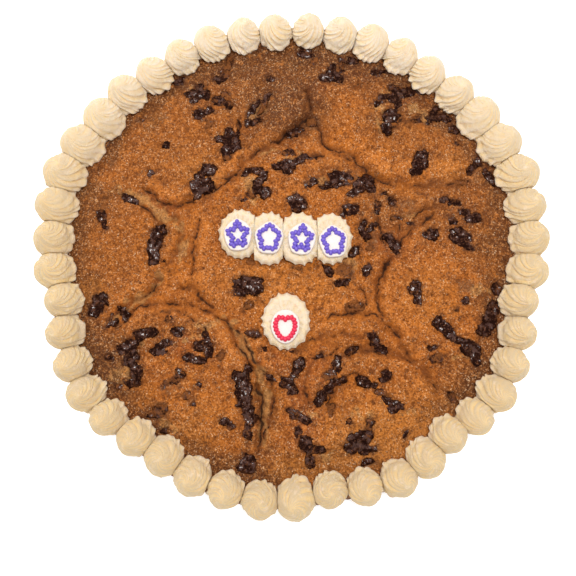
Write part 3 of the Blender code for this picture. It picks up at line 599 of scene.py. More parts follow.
def doughHeight(x, y, drop, lip):
    radius = np.hypot(x, y)
    inland = 1.0 - smoothStep(cookie["shelfStart"] - cookie["shelfBlend"], cookie["shelfStart"], radius)
    rise = np.zeros(x.shape)
    for cx, cy, reach, height in doughBalls:
        away = np.hypot(x - cx, y - cy) / reach
        rise = np.maximum(rise, height * (1.0 - np.minimum(away, 1.0) ** 4))
    height = cookie["skin"] + rise - drop + cookie["lip"] * lip
    height = np.maximum(height, -cookie["creaseFloor"]) * inland
    # the dough rises to one level under the dollops
    margin = cookie["seatMargin"]
    seat = 1.0 - smoothStep(margin, margin + cookie["seatBlend"], dollopDistance(x, y))
    seatRise = cookie["seatHeight"] - cookie["rimTop"]
    return cookie["rimTop"] + height * (1.0 - seat) + seatRise * seat, inland


chocolate = {
    "seed": 24, "grid": 0.5, "gridReach": 138.0, "reach": 135.0, "roomByCream": 0.4,
    "spread": 0.9, "squareness": 3.2, "cutTurn": 26, "cutShare": (0.76, 1.1), "merge": 0.7,
    "sink": 1.0, "edge": 0.9, "rise": 0.65, "crest": 0.2, "lowered": 0.25, "thickness": 2.0,
    # wavelength, height
    "lumps": [(6.0, 0.2), (2.6, 0.07)],
    # wavelength, how far it pushes an outline
    "warp": [(5.4, 0.35), (2.1, 0.22)],
}


def chunkSides():
    # the straight sides that broke each lobe of chocolate
    draw = random.Random(chocolate["seed"])
    sides = []
    for _, _, length, width, turn, _, _ in chunks:
        start = draw.uniform(0, 360)
        cut = []
        for corner in range(4):
            angle = start + 90.0 * corner + draw.uniform(-chocolate["cutTurn"], chocolate["cutTurn"])
            nx, ny = polar(1.0, angle)
            reach = math.hypot(length / 2 * nx, width / 2 * ny)
            room = reach * draw.uniform(*chocolate["cutShare"]) + chocolate["spread"] / 2
            nx, ny = turned(nx, ny, turn)
            cut.append((nx, ny, room))
        sides.append(cut)
    return sides


chunkCuts = chunkSides()


def chocolateDepth(x, y):
    # how far inside the chocolate each point is, how proud the chocolate stands and its veil there
    warpX, warpY = warped(x, y, chocolate["warp"], 21)
    corner = chocolate["squareness"]
    depth = np.full(x.shape, -9.0)
    weights = np.full(x.shape, 1e-9)
    proud = np.zeros(x.shape)
    veil = np.zeros(x.shape)
    for (cx, cy, length, width, turn, stands, covered), cuts in zip(chunks, chunkCuts):
        length, width = length + chocolate["spread"], width + chocolate["spread"]
        reach = max(length, width) / 2 + 6.0
        close = np.nonzero((np.abs(x - cx) < reach) & (np.abs(y - cy) < reach))[0]
        if not len(close):
            continue
        u, v = warpX[close] - cx, warpY[close] - cy
        along, across = turned(u, v, -turn)
        ratio = (np.abs(2 * along / length) ** corner + np.abs(2 * across / width) ** corner) ** (1 / corner)
        roomLeft = (1.0 - ratio) * np.hypot(along, across) / np.maximum(ratio, 0.05)
        inside = np.minimum(np.where(ratio < 0.05, width / 2, roomLeft), width / 2)
        for nx, ny, room in cuts:
            inside = np.minimum(inside, room - (u * nx + v * ny))
        depth[close] = np.maximum(depth[close], inside)
        weight = np.exp(inside / chocolate["merge"])
        weights[close] += weight
        proud[close] += weight * stands
        veil[close] += weight * covered
    fromCream = dollopDistance(x, y) - chocolate["roomByCream"]
    cleared = np.minimum(fromCream, chocolate["reach"] - np.hypot(x, y))
    return np.minimum(depth, np.maximum(cleared, -2.0)), proud / weights, veil / weights


def patches(x, y, table, soft):
    # 1 inside any of the ellipses of a table, fading over their soft edge
    warpX, warpY = warped(x, y, cookie["patchWarp"], 31)
    cover = np.zeros(x.shape)
    for cx, cy, length, width, turn, *strength in table:
        u, v = turned(warpX - cx, warpY - cy, -turn)
        inside = 1.0 - smoothStep(1.0 - soft, 1.0 + soft, np.hypot(u / (length / 2), v / (width / 2)))
        cover = np.maximum(cover, inside * (strength[0] if strength else 1.0))
    return cover


def scatteredPits(x, y):
    # small round holes where bubbles broke, as a share of their depth
    draw = np.random.default_rng(cookie["pitSeed"])
    pits = np.zeros(x.shape)
    order = np.argsort(x)
    sortedX = x[order]
    reach = cookie["pitReach"]
    for _ in range(cookie["pits"]):
        cx, cy = polar(cookie["pitRadius"] * math.sqrt(draw.uniform()), draw.uniform(0, 360))
        size = draw.uniform(*cookie["pitSize"])
        low, high = np.searchsorted(sortedX, (cx - reach, cx + reach))
        close = order[low:high]
        close = close[np.abs(y[close] - cy) < reach]
        stretch = draw.uniform(0.6, 1.0)
        u, v = turned(x[close] - cx, y[close] - cy, draw.uniform(0, 180))
        pits[close] = np.maximum(pits[close], np.exp(-((np.hypot(u, v / stretch) / size) ** 2)))
    return pits


def makeCookie(material):
    x, y, faces, last = hexDisc(cookie["fineRings"], cookie["fineRadius"] / cookie["fineRings"])
    drop, crack, lip, near, valley = foldPlaces(x, y)
    z, inland = doughHeight(x, y, drop, lip)
    close = np.exp(-((near / cookie["wrinkleReach"]) ** 2))
    pleats = np.cos(2 * math.pi * near / cookie["wrinkleSpacing"] + 1.2 * ripples(x, y, 16.0, 5))
    z += cookie["wrinkles"] * close * pleats * inland * smoothStep(-0.8, 0.8, ripples(x, y, 26.0, 6))
    for number, (length, height) in enumerate(cookie["lumps"]):
        z += height * ripples(x, y, length, 60 + number) * (0.35 + 0.65 * inland)
    z -= cookie["crackDepth"] * crack * inland
    pits = scatteredPits(x, y)
    z -= cookie["pitDepth"] * pits
    inside, _, _ = chocolateDepth(x, y)
    # the dough swells beside the chocolate and gives way under it
    swell = cookie["swellByChocolate"] * np.exp(-((inside + 1.6) ** 2))
    z += swell - cookie["dentUnderChocolate"] * smoothStep(-0.6, 1.2, inside)
    torn = patches(x, y, tornPlaces, 0.35)
    smear = patches(x, y, smearPlaces, 0.4)
    z -= cookie["tornDepth"] * torn
    z += torn * cookie["tornRoughness"] * ripples(x, y, 2.4, 66)
    z = np.where(dollopDistance(x, y) < 0.0, np.minimum(z, cookie["seatHeight"] + 0.1), z)
    stain = np.exp(-np.maximum(-inside, 0.0) / cookie["stainReach"])
    stain = stain * smoothStep(-0.8, 0.9, ripples(x, y, 7.0, 8) + 0.2)
    radius, degrees = np.hypot(x, y), np.degrees(np.arctan2(y, x))
    masks = {
        "browned": patches(x, y, brownedPlaces, 0.35), "ruddy": patches(x, y, ruddyPlaces, 0.6),
        "dark": patches(x, y, darkPlaces, 0.5), "pale": patches(x, y, palePlaces, 0.5),
        # edge: painted shade on the dough where the cream ring stands over it
        "edge": smoothStep(*cookie["edgeTone"], radius - ringShift(degrees)),
        "rim": smoothStep(*cookie["rimTone"], radius + 5.0 * ripples(x, y, 22.0, 9)),
        # pit is painted shade in the pits
        "crack": crack * inland, "pit": pits, "torn": torn, "stain": stain, "smear": smear,
        # lip: painted highlight on the raised dough beside the folds
        "lip": np.clip(lip / 2.0, 0.0, 1.0) * inland,
        # painted shade in the valleys of the folds
        "valley": valley * inland * (0.55 + 0.45 * smoothStep(-1.0, 0.8, ripples(x, y, 14.0, 10))),
        "seam": np.exp(-((near / cookie["seamReach"]) ** 2)) * inland,
    }
    # rim and side, from the fine top out and down to the table
    around = 6 * cookie["fineRings"]
    degrees = 360.0 * np.arange(around) / around
    rows = [np.stack([x, y, z], 1)]
    count = len(x)
    for radius, height, follow in cookie["side"]:
        sideX, sideY = polar(radius, degrees)
        rough = ripples(sideX + 0.6 * height, sideY + 0.8 * height, cookie["sideWave"], 12, 9)
        out = radius + follow * ringShift(degrees) - cookie["sideDents"] * np.abs(rough)
        px, py = polar(out, degrees)
        pz = np.full(around, height) + cookie["sideLumps"] * rough * (0.5 < height)
        rows.append(np.stack([px, py, pz], 1))
        faces = np.concatenate([faces, ringStrip(count, last, around)])
        last = count
        count += around
    rows.append(np.array([[0.0, 0.0, 0.0]]))
    here = np.arange(around)
    underside = np.stack([last + (here + 1) % around, last + here, np.full(around, count)], 1)
    faces = np.concatenate([faces, underside])
    points = np.concatenate(rows)
    for name, values in masks.items():
        # the side takes the rim tone and the painted shade under the cream in full
        onSide = 1.0 if name in ("rim", "edge") else 0.0
        masks[name] = np.concatenate([values, np.full(len(points) - len(x), onSide)])
    piece = addPiece("bakedCookie", points, faces, material, masks)
    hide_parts("cookie")
    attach(piece, "root")
    print("cookie:", len(faces), "triangles")


# tones as a picture shows them; a strength goes before those that are laid over the others
doughTones = {
    "golden": (188, 104, 25), "amber": (174, 94, 24),
    "patch": (0.65, (144, 74, 18)), "browned": (0.5, (142, 78, 22)), "ruddy": (0.5, (152, 72, 24)),
    # the edge tone is painted shade beside the cream
    # the lip tone is a painted highlight
    "lip": (0.6, (212, 124, 48)), "rim": (0.72, (104, 60, 22)), "edge": (0.6, (78, 40, 14)),
    "pale": (0.6, (208, 128, 50)), "dark": (0.8, (76, 40, 16)), "torn": (0.7, (188, 136, 78)),
    "darkBlotch": (0.5, (104, 52, 14)), "paleBlotch": (0.4, (212, 124, 44)),
    # the glint tone is a painted highlight
    "darkGrain": (0.8, (78, 38, 10)), "flecks": (0.7, (224, 152, 86)), "glint": (0.6, (255, 216, 172)),
    # the tone of the folds' valleys is painted shade
    "smear": (0.5, (112, 74, 46)), "valley": (0.8, (92, 46, 14)), "stain": (0.8, (66, 34, 18)),
    # the pit tone is painted shade in the pits
    "pit": (0.6, (72, 34, 12)), "crack": (0.85, (46, 24, 12)),
    "grainDepth": 1.8,
}


def doughLook():
    look = Look("bakedDough", Specular_IOR_Level=0.2)
    blotch = look.noise(4.0, 4, 0.65, 7.0)
    grain = look.noise(1.1, 3, 0.75, 3.0)
    crumb = look.noise(2.6, 3, 0.6, 4.0)
    # folds show less of the crust's grain
    calm = 1.0 - 0.5 * look.mask("seam")
    flecks = grain.step(0.48, 0.68) * (0.45 + 0.55 * crumb.step(0.4, 0.6))
    # glints are painted highlights where grains of sugar catch the light
    glint = look.noise(0.9, 2, 0.6, 8.0).step(0.55, 0.7) * crumb.step(0.4, 0.58)
    # from the lowest layer to the one on top
    covers = {"patch": look.noise(8, 3, 0.55, 2.0).step(0.38, 0.64)}
    # edge among these is painted shade beside the cream
    # lip among these is a painted highlight
    for name in ("browned", "ruddy", "lip", "rim", "edge", "pale", "dark", "torn"):
        covers[name] = look.mask(name)
    covers["darkBlotch"] = blotch.step(0.5, 0.34)
    covers["paleBlotch"] = blotch.step(0.52, 0.68)
    covers["darkGrain"] = grain.step(0.54, 0.34) * calm
    covers["flecks"] = flecks * calm
    # painted highlights
    covers["glint"] = glint * calm
    covers["smear"] = look.mask("smear") * crumb.step(0.34, 0.54)
    # painted shade in the folds
    covers["valley"] = look.mask("valley")
    covers["stain"] = look.mask("stain") * look.noise(2.6, 3, 0.6, 6.0).step(0.36, 0.56)
    # painted shade in the pits
    covers["pit"] = look.mask("pit")
    covers["crack"] = look.mask("crack").step(0.2, 0.8)
    broad = look.noise(38, 3, 0.6, 1.0).step(0.35, 0.65)
    colour = look.mix(broad, paint(*doughTones["golden"]), paint(*doughTones["amber"]))
    for name, cover in covers.items():
        colour = look.lay(colour, cover, doughTones[name])
    look.bump(grain * 0.8 + crumb * 0.8, doughTones["grainDepth"])
    return look.show(Base_Color=colour, Roughness=0.42 + 0.3 * grain)


def makeChocolate(material):
    grid = chocolate["grid"]
    side = int(2 * chocolate["gridReach"] / grid) + 1
    line = (np.arange(side) - (side - 1) / 2) * grid
    gridX, gridY = np.meshgrid(line, line, indexing="ij")
    inside, proud, veil = chocolateDepth(gridX.ravel(), gridY.ravel())
    # squares of the grid that lie in the chocolate, with their points numbered anew
    kept = (inside > -0.75).reshape(side, side)
    square = kept[:-1, :-1] & kept[1:, :-1] & kept[1:, 1:] & kept[:-1, 1:]
    i, j = np.nonzero(square)
    corners = np.stack([i * side + j, (i + 1) * side + j, (i + 1) * side + j + 1, i * side + j + 1], 1)
    used, renumbered = np.unique(corners, return_inverse=True)
    squares = renumbered.reshape(-1, 4)
    x, y = gridX.ravel()[used], gridY.ravel()[used]
    inside, proud, veil = inside[used], proud[used], veil[used]
    drop, _, lip, _, _ = foldPlaces(x, y)
    ground, _ = doughHeight(x, y, drop, lip)
    shoulder = smoothStep(-0.7, chocolate["edge"], inside)
    relief = np.zeros(x.shape)
    for number, (length, height) in enumerate(chocolate["lumps"]):
        relief += height * ripples(x, y, length, 70 + number)
    crest = np.abs(ripples(x, y, 7.0, 75))
    stand = chocolate["sink"] + chocolate["rise"] * proud + relief + chocolate["crest"] * crest
    top = ground - chocolate["sink"] + shoulder * (stand - chocolate["lowered"])
    under = top - 0.02 - chocolate["thickness"] * shoulder
    count = len(x)
    # a top, a copy of it underneath, and a skirt along the open edges between them
    upper = np.concatenate([squares[:, [0, 1, 2]], squares[:, [0, 2, 3]]])
    lower = upper[:, ::-1] + count
    edges = np.concatenate([upper[:, [0, 1]], upper[:, [1, 2]], upper[:, [2, 0]]])
    keys = edges[:, 0].astype(np.int64) * count + edges[:, 1]
    backwards = edges[:, 1].astype(np.int64) * count + edges[:, 0]
    rim = edges[~np.isin(keys, backwards)]
    skirt = np.concatenate([
        np.stack([rim[:, 1], rim[:, 0], rim[:, 0] + count], 1),
        np.stack([rim[:, 1], rim[:, 0] + count, rim[:, 1] + count], 1)])
    points = np.concatenate([np.stack([x, y, top], 1), np.stack([x, y, under], 1)])
    faces = np.concatenate([upper, lower, skirt])
    piece = addPiece("chocolateChunks", points, faces, material, {"veil": np.concatenate([veil, veil])})
    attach(piece, "root")
    print("chocolate:", len(faces), "triangles")


# tones as a picture shows them, as for the dough
chocolateTones = {
    "dark": (30, 11, 6), "worn": (68, 32, 16), "bloom": (0.6, (140, 92, 66)),
    "darkCrumb": (96, 52, 24), "paleCrumb": (168, 104, 56), "roughDepth": 1.5,
}


def chocolateLook():
    look = Look("darkChocolate", Specular_IOR_Level=0.04, Coat_Roughness=0.14)
    tones = chocolateTones
    lump = look.noise(2.8, 3, 0.6, 11.0)
    fine = look.noise(1.1, 3, 0.7, 13.0)
    veil = look.mask("veil")
    colour = look.mix(lump.step(0.42, 0.64), paint(*tones["dark"]), paint(*tones["worn"]))
    # light specks: partly bloom on the chocolate, partly painted highlights
    colour = look.lay(colour, fine.step(0.54, 0.68), tones["bloom"])
    # a thin veil of crumb over the pieces that the dough half covers
    dusty = (look.noise(3.0, 4, 0.7, 14.0) + veil * 0.36).step(0.6, 0.76)
    crumb = look.mix(fine, paint(*tones["darkCrumb"]), paint(*tones["paleCrumb"]))
    colour = look.mix(dusty * (0.5 + 0.4 * veil), colour, crumb)
    look.bump(0.7 * lump + fine, tones["roughDepth"])
    gloss = lump.step(0.48, 0.6) * (1.0 - dusty) * 0.9
    return look.show(Base_Color=colour, Roughness=0.4 + 0.2 * fine + 0.2 * veil, Coat_Weight=gloss)


rosette = {
    "height": 15.4, "unevenness": 0.04, "base": 13.9, "foot": 14.3, "gap": 0.03,
    "lean": 2.4, "ownLean": 0.7, "hook": 1.7, "squash": 0.1,
    "ridges": 14, "perRidge": 9, "levels": 38, "grooves": 0.34, "fineRidges": 0.25,
    "ridgeStrength": (0.55, 1.35), "wear": 0.4, "wearRange": (0.15, 1.2), "ruffle": 0.02,
    "unevenTurns": (5.0, 3.5), "sway": 5.0, "dents": 0.018,
    # radius of every rosette, anticlockwise from the top
    "sizes": [
        10.4, 10.7, 10.7, 11.2, 11.0, 11.4, 11.8, 13.1, 13.0, 12.8, 12.2, 11.6, 11.7, 10.7, 10.4,
        10.4, 10.7, 10.2, 10.3, 11.0, 10.8, 10.0, 10.4, 11.5, 9.8, 10.0, 10.3, 10.8, 10.3, 10.3,
        10.8, 10.4, 10.4, 10.7, 11.7, 11.5, 11.9, 12.8, 13.0, 13.1, 11.7, 11.3, 10.8, 11.4, 10.9,
    ],
    # share of the height, share of the radius, depth of the grooves, twist, share of the lean
    "profile": [
        (0.00, 0.87, 0.06, 0, 0.0), (0.05, 0.965, 0.12, -2, 0.0), (0.12, 0.995, 0.155, -6, 0.03),
        (0.18, 0.98, 0.155, -10, 0.08), (0.23, 0.935, 0.14, -14, 0.16), (0.28, 0.90, 0.125, -18, 0.28),
        (0.34, 0.90, 0.09, -24, 0.40), (0.42, 0.88, 0.08, -32, 0.52), (0.51, 0.83, 0.08, -43, 0.63),
        (0.61, 0.745, 0.085, -56, 0.73), (0.71, 0.635, 0.1, -71, 0.82), (0.80, 0.50, 0.12, -88, 0.89),
        (0.88, 0.36, 0.15, -107, 0.94), (0.94, 0.235, 0.16, -126, 0.97), (0.98, 0.13, 0.12, -142, 0.99),
        (1.00, 0.05, 0.03, -150, 1.0),
    ],
}


def holdBack(u, v, walls):
    # points past a wall are set back onto it; a wall is its direction and its distance
    for nx, ny, room in walls:
        over = np.maximum(u * nx + v * ny - room, 0.0)
        u, v = u - nx * over, v - ny * over
    return u, v


def wallsBetween(places, number):
    # the planes halfway to both neighbours in the ring, which the cream doesn't cross
    x, y = places[number]
    walls = []
    for neighbour in (number - 1, (number + 1) % len(places)):
        nx, ny = places[neighbour][0] - x, places[neighbour][1] - y
        apart = math.hypot(nx, ny)
        walls.append((nx / apart, ny / apart, (apart - rosette["gap"]) / 2))
    return walls


def makeRosettes(material):
    draw = random.Random(ring["seed"])
    places = ringPlaces()
    half = (ring["count"] + 1) // 2
    levels = np.linspace(0.0, 1.0, rosette["levels"])
    width, groove, twist, lean = (
        curveThrough(rosette["profile"], column, levels)[:, None] for column in (1, 2, 3, 4))
    levels = levels[:, None]
    around = rosette["ridges"] * rosette["perRidge"]
    along = 360.0 * np.arange(around)[None, :] / around
    # soft ridges as a star nozzle leaves them, each with a finer one on its flank
    turns = np.radians(along * rosette["ridges"])
    crest = 0.5 + 0.5 * np.cos(turns) + rosette["fineRidges"] * 0.5 * np.cos(2.0 * turns + 1.0)
    ridgeNumber = (np.arange(around) / rosette["perRidge"] + 0.5).astype(int) % rosette["ridges"]
    # the way round a rosette as places, for the ripples
    cosine, sine = polar(1.0, along)
    alongX, alongY = polar(9.0, along)
    # the neighbours press a rosette well above its foot
    pressed = smoothStep(0.14, 0.26, levels) * (1.0 - smoothStep(0.5, 0.78, levels))
    total = 0
    for number, (x, y) in enumerate(places):
        walls = wallsBetween(places, number)
        size = rosette["sizes"][number]
        height = rosette["height"] * (1 + draw.uniform(-rosette["unevenness"], rosette["unevenness"]))
        draw.uniform(0, 360.0)  # not used, but the draws after it depend on it
        leanX, leanY = polar(rosette["ownLean"], draw.uniform(0, 360.0))
        leanX += rosette["lean"] * x / ring["radius"]
        leanY += rosette["lean"] * y / ring["radius"]
        # the two halves of the ring mirror each other
        likeness = number if number < half else 2 * half - number
        own = np.random.default_rng(100 + likeness)
        strength = own.uniform(*rosette["ridgeStrength"], rosette["ridges"])[ridgeNumber][None, :]
        first, second = own.uniform(0, 360, 2)
        twice, thrice = rosette["unevenTurns"]
        uneven = twice * np.sin(np.radians(2 * along + first))
        uneven = uneven + thrice * np.sin(np.radians(3 * along + second))
        facing = own.uniform(0, 360)
        worn = 0.85 + rosette["wear"] * ripples(alongX, levels * 16 + alongY / 2, 9.0, 500 + likeness)
        worn = np.clip(worn, *rosette["wearRange"])
        ruffle = rosette["ruffle"] * np.exp(-(((levels - 0.1) / 0.12) ** 2))
        ruffle = ruffle * ripples(alongX, alongY, 3.4, 600 + likeness)
        ridged = rosette["grooves"] * groove * strength * worn * 2.0 * (crest - 0.4)
        sway = ripples(9 * cosine, levels * 15 + 4 * sine, 11.0, 200 + likeness)
        dents = ripples(10 * cosine, levels * 15 + 9 * sine, 9.0, 300 + likeness)
        radius = size * width * (1 + ridged + ruffle) * (1 + rosette["dents"] * dents)
        theta = facing + along + uneven + twist + rosette["sway"] * sway
        if x >= 0:
            theta = 180.0 - theta[:, ::-1]
            radius = radius[:, ::-1]
        for nx, ny, _ in walls:
            towards = np.clip(np.cos(np.radians(theta)) * nx + np.sin(np.radians(theta)) * ny, 0.0, 1.0)
            radius = radius * (1.0 + rosette["squash"] * pressed * towards**5)
        u, v = polar(radius, theta)
        hookX, hookY = polar(rosette["hook"] * levels**7, facing if x < 0 else 180.0 - facing)
        u, v = holdBack(u + leanX * lean + hookX, v + leanY * lean + hookY, walls)
        z = np.where(levels > 0.0, rosette["foot"] + height * levels, rosette["base"])
        z = np.broadcast_to(z, u.shape)
        # painted shade: a deeper, yellower tone in the grooves between the ridges
        grooveShade = np.clip(0.9 - crest, 0.0, 1.0) * strength * worn * smoothStep(0.06, 0.2, levels)
        if x >= 0:
            grooveShade = grooveShade[:, ::-1]
        # skirt: painted shade, a greyer tone at the foot where the cream meets the dough
        skirt = np.broadcast_to(1.0 - smoothStep(0.16, 0.32, levels), grooveShade.shape)
        masks = {
            "groove": [*grooveShade.ravel(), 0.0, 0.0], "skirt": [*skirt.ravel(), 1.0, 0.0],
            # shade: painted shade, darker towards the bottom of the ring
            "shade": np.full(grooveShade.size + 2, smoothStep(160.0, 0.0, y)),
        }
        points, faces = ringStack(np.stack([x + u, y + v, z], 2))
        piece = addPiece("creamRosette%02d" % (number + 1), points, faces, material, masks)
        total += len(piece.data.polygons)
        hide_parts("rosette_%02d" % (number + 1))
        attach(piece, "root")
    print("rosettes:", total, "triangles")


dollop = {
    "height": 5.0, "base": 16.4, "foot": 16.9, "levels": 15, "teeth": 17, "perTooth": 10,
    # shade is how much of the cream's painted shade tone the dollops take
    "toothSize": (0.5, 1.2), "sway": 3.0, "seed": 7, "shade": 0.3,
    # rings of the pressed top as shares of its outline, and how deep its grooves and unevenness are
    "topShares": (0.9, 0.78, 0.64, 0.48, 0.3, 0.12), "topGrooves": 0.8, "topRough": 0.05,
    # share of the height, share of the outline, tooth depth
    "profile": [
        (0.00, 0.93, 0.05), (0.14, 0.98, 0.08), (0.34, 1.00, 0.09), (0.55, 0.965, 0.085), (0.74, 0.93, 0.07),
        (0.87, 0.885, 0.055), (0.95, 0.83, 0.04), (1.00, 0.75, 0.025),
    ],
}


def makeDollops(material):
    around = dollop["teeth"] * dollop["perTooth"]
    along = 360.0 * np.arange(around)[None, :] / around
    crest = np.abs(np.cos(np.radians(along * dollop["teeth"] / 2)))
    # teeth point outwards: narrow crests with round hollows between them
    teeth = 1.0 - np.abs(np.sin(np.radians(along * dollop["teeth"] / 2)))
    index = (np.arange(around) / dollop["perTooth"] + 0.5).astype(int) % dollop["teeth"]
    levels = np.linspace(0.0, 1.0, dollop["levels"])[:, None]
    width = curveThrough(dollop["profile"], 1, levels)
    tooth = curveThrough(dollop["profile"], 2, levels)
    inward = np.array([*np.ones(len(levels)), *dollop["topShares"]])[:, None]
    px, py = polar(4.0, along)
    for number, (name, x, y, halfWidth, halfLength, left, right) in enumerate(dollops):
        own = np.random.default_rng(dollop["seed"] + number)
        walls = []
        if left is not None:
            walls.append((-1.0, 0.0, left - rosette["gap"] / 2))
        if right is not None:
            walls.append((1.0, 0.0, right - rosette["gap"] / 2))
        size = own.uniform(*dollop["toothSize"], dollop["teeth"])[index][None, :]
        reach = width * (0.985 + tooth * (teeth * size - 0.35))
        u, v = polar(1.0, along + dollop["sway"] * ripples(px, py + levels * 2, 6.0, 400 + number))
        u, v = holdBack(u * halfWidth * reach, v * halfLength * reach, walls)
        z = np.where(levels > 0.0, dollop["foot"] + dollop["height"] * levels, dollop["base"])
        z = np.broadcast_to(z, u.shape)
        rings = [np.stack([u, v, z], 2)]
        # grooves run in over the pressed top and fade out
        for share in dollop["topShares"]:
            topX, topY = u[-1] * share, v[-1] * share
            rough = np.abs(ripples(topX, topY, 5.0, 420 + number))
            sunk = dollop["topGrooves"] * share**2 * (1.0 - crest[0]) + dollop["topRough"] * rough
            rings.append(np.stack([topX, topY, z[-1] - sunk - 0.02], 1)[None])
        # painted shade: a deeper, yellower tone in the grooves between the teeth
        grooveShade = 0.6 * (1.0 - crest) * size * inward**2
        masks = {
            "groove": [*grooveShade.ravel(), 0.0, 0.0], "skirt": np.zeros(grooveShade.size + 2),
            "shade": np.full(grooveShade.size + 2, dollop["shade"]),
        }
        points, faces = ringStack(np.concatenate(rings) + np.array([x, y, 0.0]))
        piece = addPiece("cream" + name.capitalize().replace("_", ""), points, faces, material, masks)
        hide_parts(name)
        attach(piece, "root")
    print("dollops made")


# tones as a picture shows them, as for the dough
creamTones = {
    "light": (226, 212, 193), "deep": (220, 204, 180),
    # the groove tone is painted shade in the grooves
    # the shade tone is painted shade
    # the skirt tone is painted shade at the foot
    "shade": (1.0, (202, 180, 147)), "skirt": (0.5, (212, 190, 168)), "groove": (0.55, (238, 205, 142)),
    "darkBlotch": (0.4, (216, 184, 132)), "paleBlotch": (0.35, (232, 212, 192)), "roughDepth": 0.8,
}


def creamLook():
    look = Look("buttercream", Specular_IOR_Level=0.2, Subsurface_Weight=0.6, Subsurface_Scale=0.003,
                Subsurface_Radius=(1.0, 0.85, 0.6))
    tones = creamTones
    broad = look.noise(14, 3, 0.6, 21.0).step(0.35, 0.65)
    blotch = look.noise(3.0, 3, 0.6, 24.0)
    fine = look.noise(1.1, 3, 0.7, 22.0)
    colour = look.mix(broad, paint(*tones["light"]), paint(*tones["deep"]))
    for name in ("shade", "skirt", "groove"):
        colour = look.lay(colour, look.mask(name), tones[name])
    colour = look.lay(colour, blotch.step(0.5, 0.36), tones["darkBlotch"])
    colour = look.lay(colour, blotch.step(0.54, 0.68), tones["paleBlotch"])
    colour = look.scale(colour, 0.93 + 0.14 * fine)
    look.bump(fine + 0.6 * blotch, tones["roughDepth"])
    return look.show(Base_Color=colour, Roughness=0.5 + 0.2 * fine)


sugar = {
    "base": 21.7, "top": 24.2, "margin": 2.7, "leastReach": 0.86, "around": 120, "softenings": 14,
    # side of the white base: inset from the edge, share of the thickness
    "side": [(0.5, 0.0), (0.1, 0.12), (0.0, 0.35), (0.0, 0.65), (0.15, 0.85), (0.45, 0.97), (0.9, 1.0)],
    "topShares": (0.85, 0.68, 0.5, 0.32, 0.14), "topRough": 0.06,
    "beadWidth": 1.62, "beadLength": 1.3, "beadRise": 1.66, "beadPitch": 2.0, "beadPoints": (12, 20),
}

# each sugar's tone where it is light and dark, as a picture shows it, and its roughness
sugarTones = {
    "whiteSugar": ((224, 214, 208), (214, 203, 198), 0.55),
    "blueSugar": ((117, 97, 190), (92, 73, 173), 0.35),
    "redSugar": ((220, 54, 84), (204, 31, 64), 0.35),
}

# name, motif, centre x, centre y, half width, half length, lean
sugarPieces = [
    ("sugar_star_1", "star", -32.0, 5.6, 6.2, 8.0, 4),
    ("sugar_flower_1", "flower", -13.4, 3.8, 6.2, 7.8, -3),
    ("sugar_star_2", "star", 6.2, 3.2, 6.2, 8.0, -5),
    ("sugar_flower_2", "flower", 25.0, 1.6, 6.2, 7.8, 6),
    ("sugar_heart", "heart", -3.6, -48.4, 6.6, 7.6, 0),
]


def motifReach(motif, degrees):
    turn = np.radians(degrees)
    if motif == "star":
        return 0.74 + 0.26 * np.cos(5 * (turn - math.pi / 2))
    if motif == "flower":
        return 0.7 + 0.3 * np.abs(np.cos(2.5 * (turn - math.pi / 2)))
    off = (degrees + 90.0 + 180.0) % 360.0 - 180.0
    point = np.exp(-((off / 34.0) ** 2))
    cleft = np.exp(-(((180.0 - np.abs(off)) / 30.0) ** 2))
    return 0.86 + 0.2 * point - 0.42 * cleft


def pieceName(start, name):
    # "sugar_star_1" gives "sugarPlateStar1" after the start "sugarPlate"
    return start + "".join(word.capitalize() for word in name.split("_")[1:])


def makePlate(name, motif, x, y, halfWidth, halfLength, lean, material):
    around = sugar["around"]
    degrees = 360.0 * np.arange(around) / around
    reach = np.maximum(motifReach(motif, degrees), sugar["leastReach"])
    for _ in range(sugar["softenings"]):
        reach = (np.roll(reach, 1) + reach + np.roll(reach, -1)) / 3
    u, v = polar(1.0, degrees)
    thick = sugar["top"] - sugar["base"]
    rings = []
    for inset, share in sugar["side"]:
        px = u * (halfWidth * reach + sugar["margin"] - inset)
        py = v * (halfLength * reach + sugar["margin"] - inset)
        rings.append(np.stack([px, py, np.full(around, sugar["base"] + thick * share)], 1))
    edge = rings[-1]
    for share in sugar["topShares"]:
        px, py = edge[:, 0] * share, edge[:, 1] * share
        dents = sugar["topRough"] * np.minimum(ripples(px, py, 3.0, 81), 0.0)
        rings.append(np.stack([px, py, sugar["top"] + dents], 1))
    stack = np.stack(rings)
    stack[..., 0], stack[..., 1] = turned(stack[..., 0], stack[..., 1], lean)
    stack += np.array([x, y, 0.0])
    piece = addPiece(pieceName("sugarPlate", name), *ringStack(stack), material)
    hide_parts(name)
    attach(piece, "root")


def evenPlaces(motif, halfWidth, halfLength):
    # bead centres at equal spacing along the motif's line, and the way the line runs there
    degrees = np.linspace(90.0, 450.0, 1441)
    reach = motifReach(motif, degrees)
    px, py = polar(1.0, degrees)
    px, py = px * reach * halfWidth, py * reach * halfLength
    walked = np.concatenate([[0.0], np.cumsum(np.hypot(np.diff(px), np.diff(py)))])
    count = max(3, round(walked[-1] / sugar["beadPitch"]))
    at = walked[-1] * np.arange(count) / count
    x, y = np.interp(at, walked, px), np.interp(at, walked, py)
    after, before = (at + 0.4) % walked[-1], (at - 0.4) % walked[-1]
    ahead = np.interp(after, walked, px) - np.interp(before, walked, px)
    up = np.interp(after, walked, py) - np.interp(before, walked, py)
    return zip(x, y, np.degrees(np.arctan2(up, ahead)))


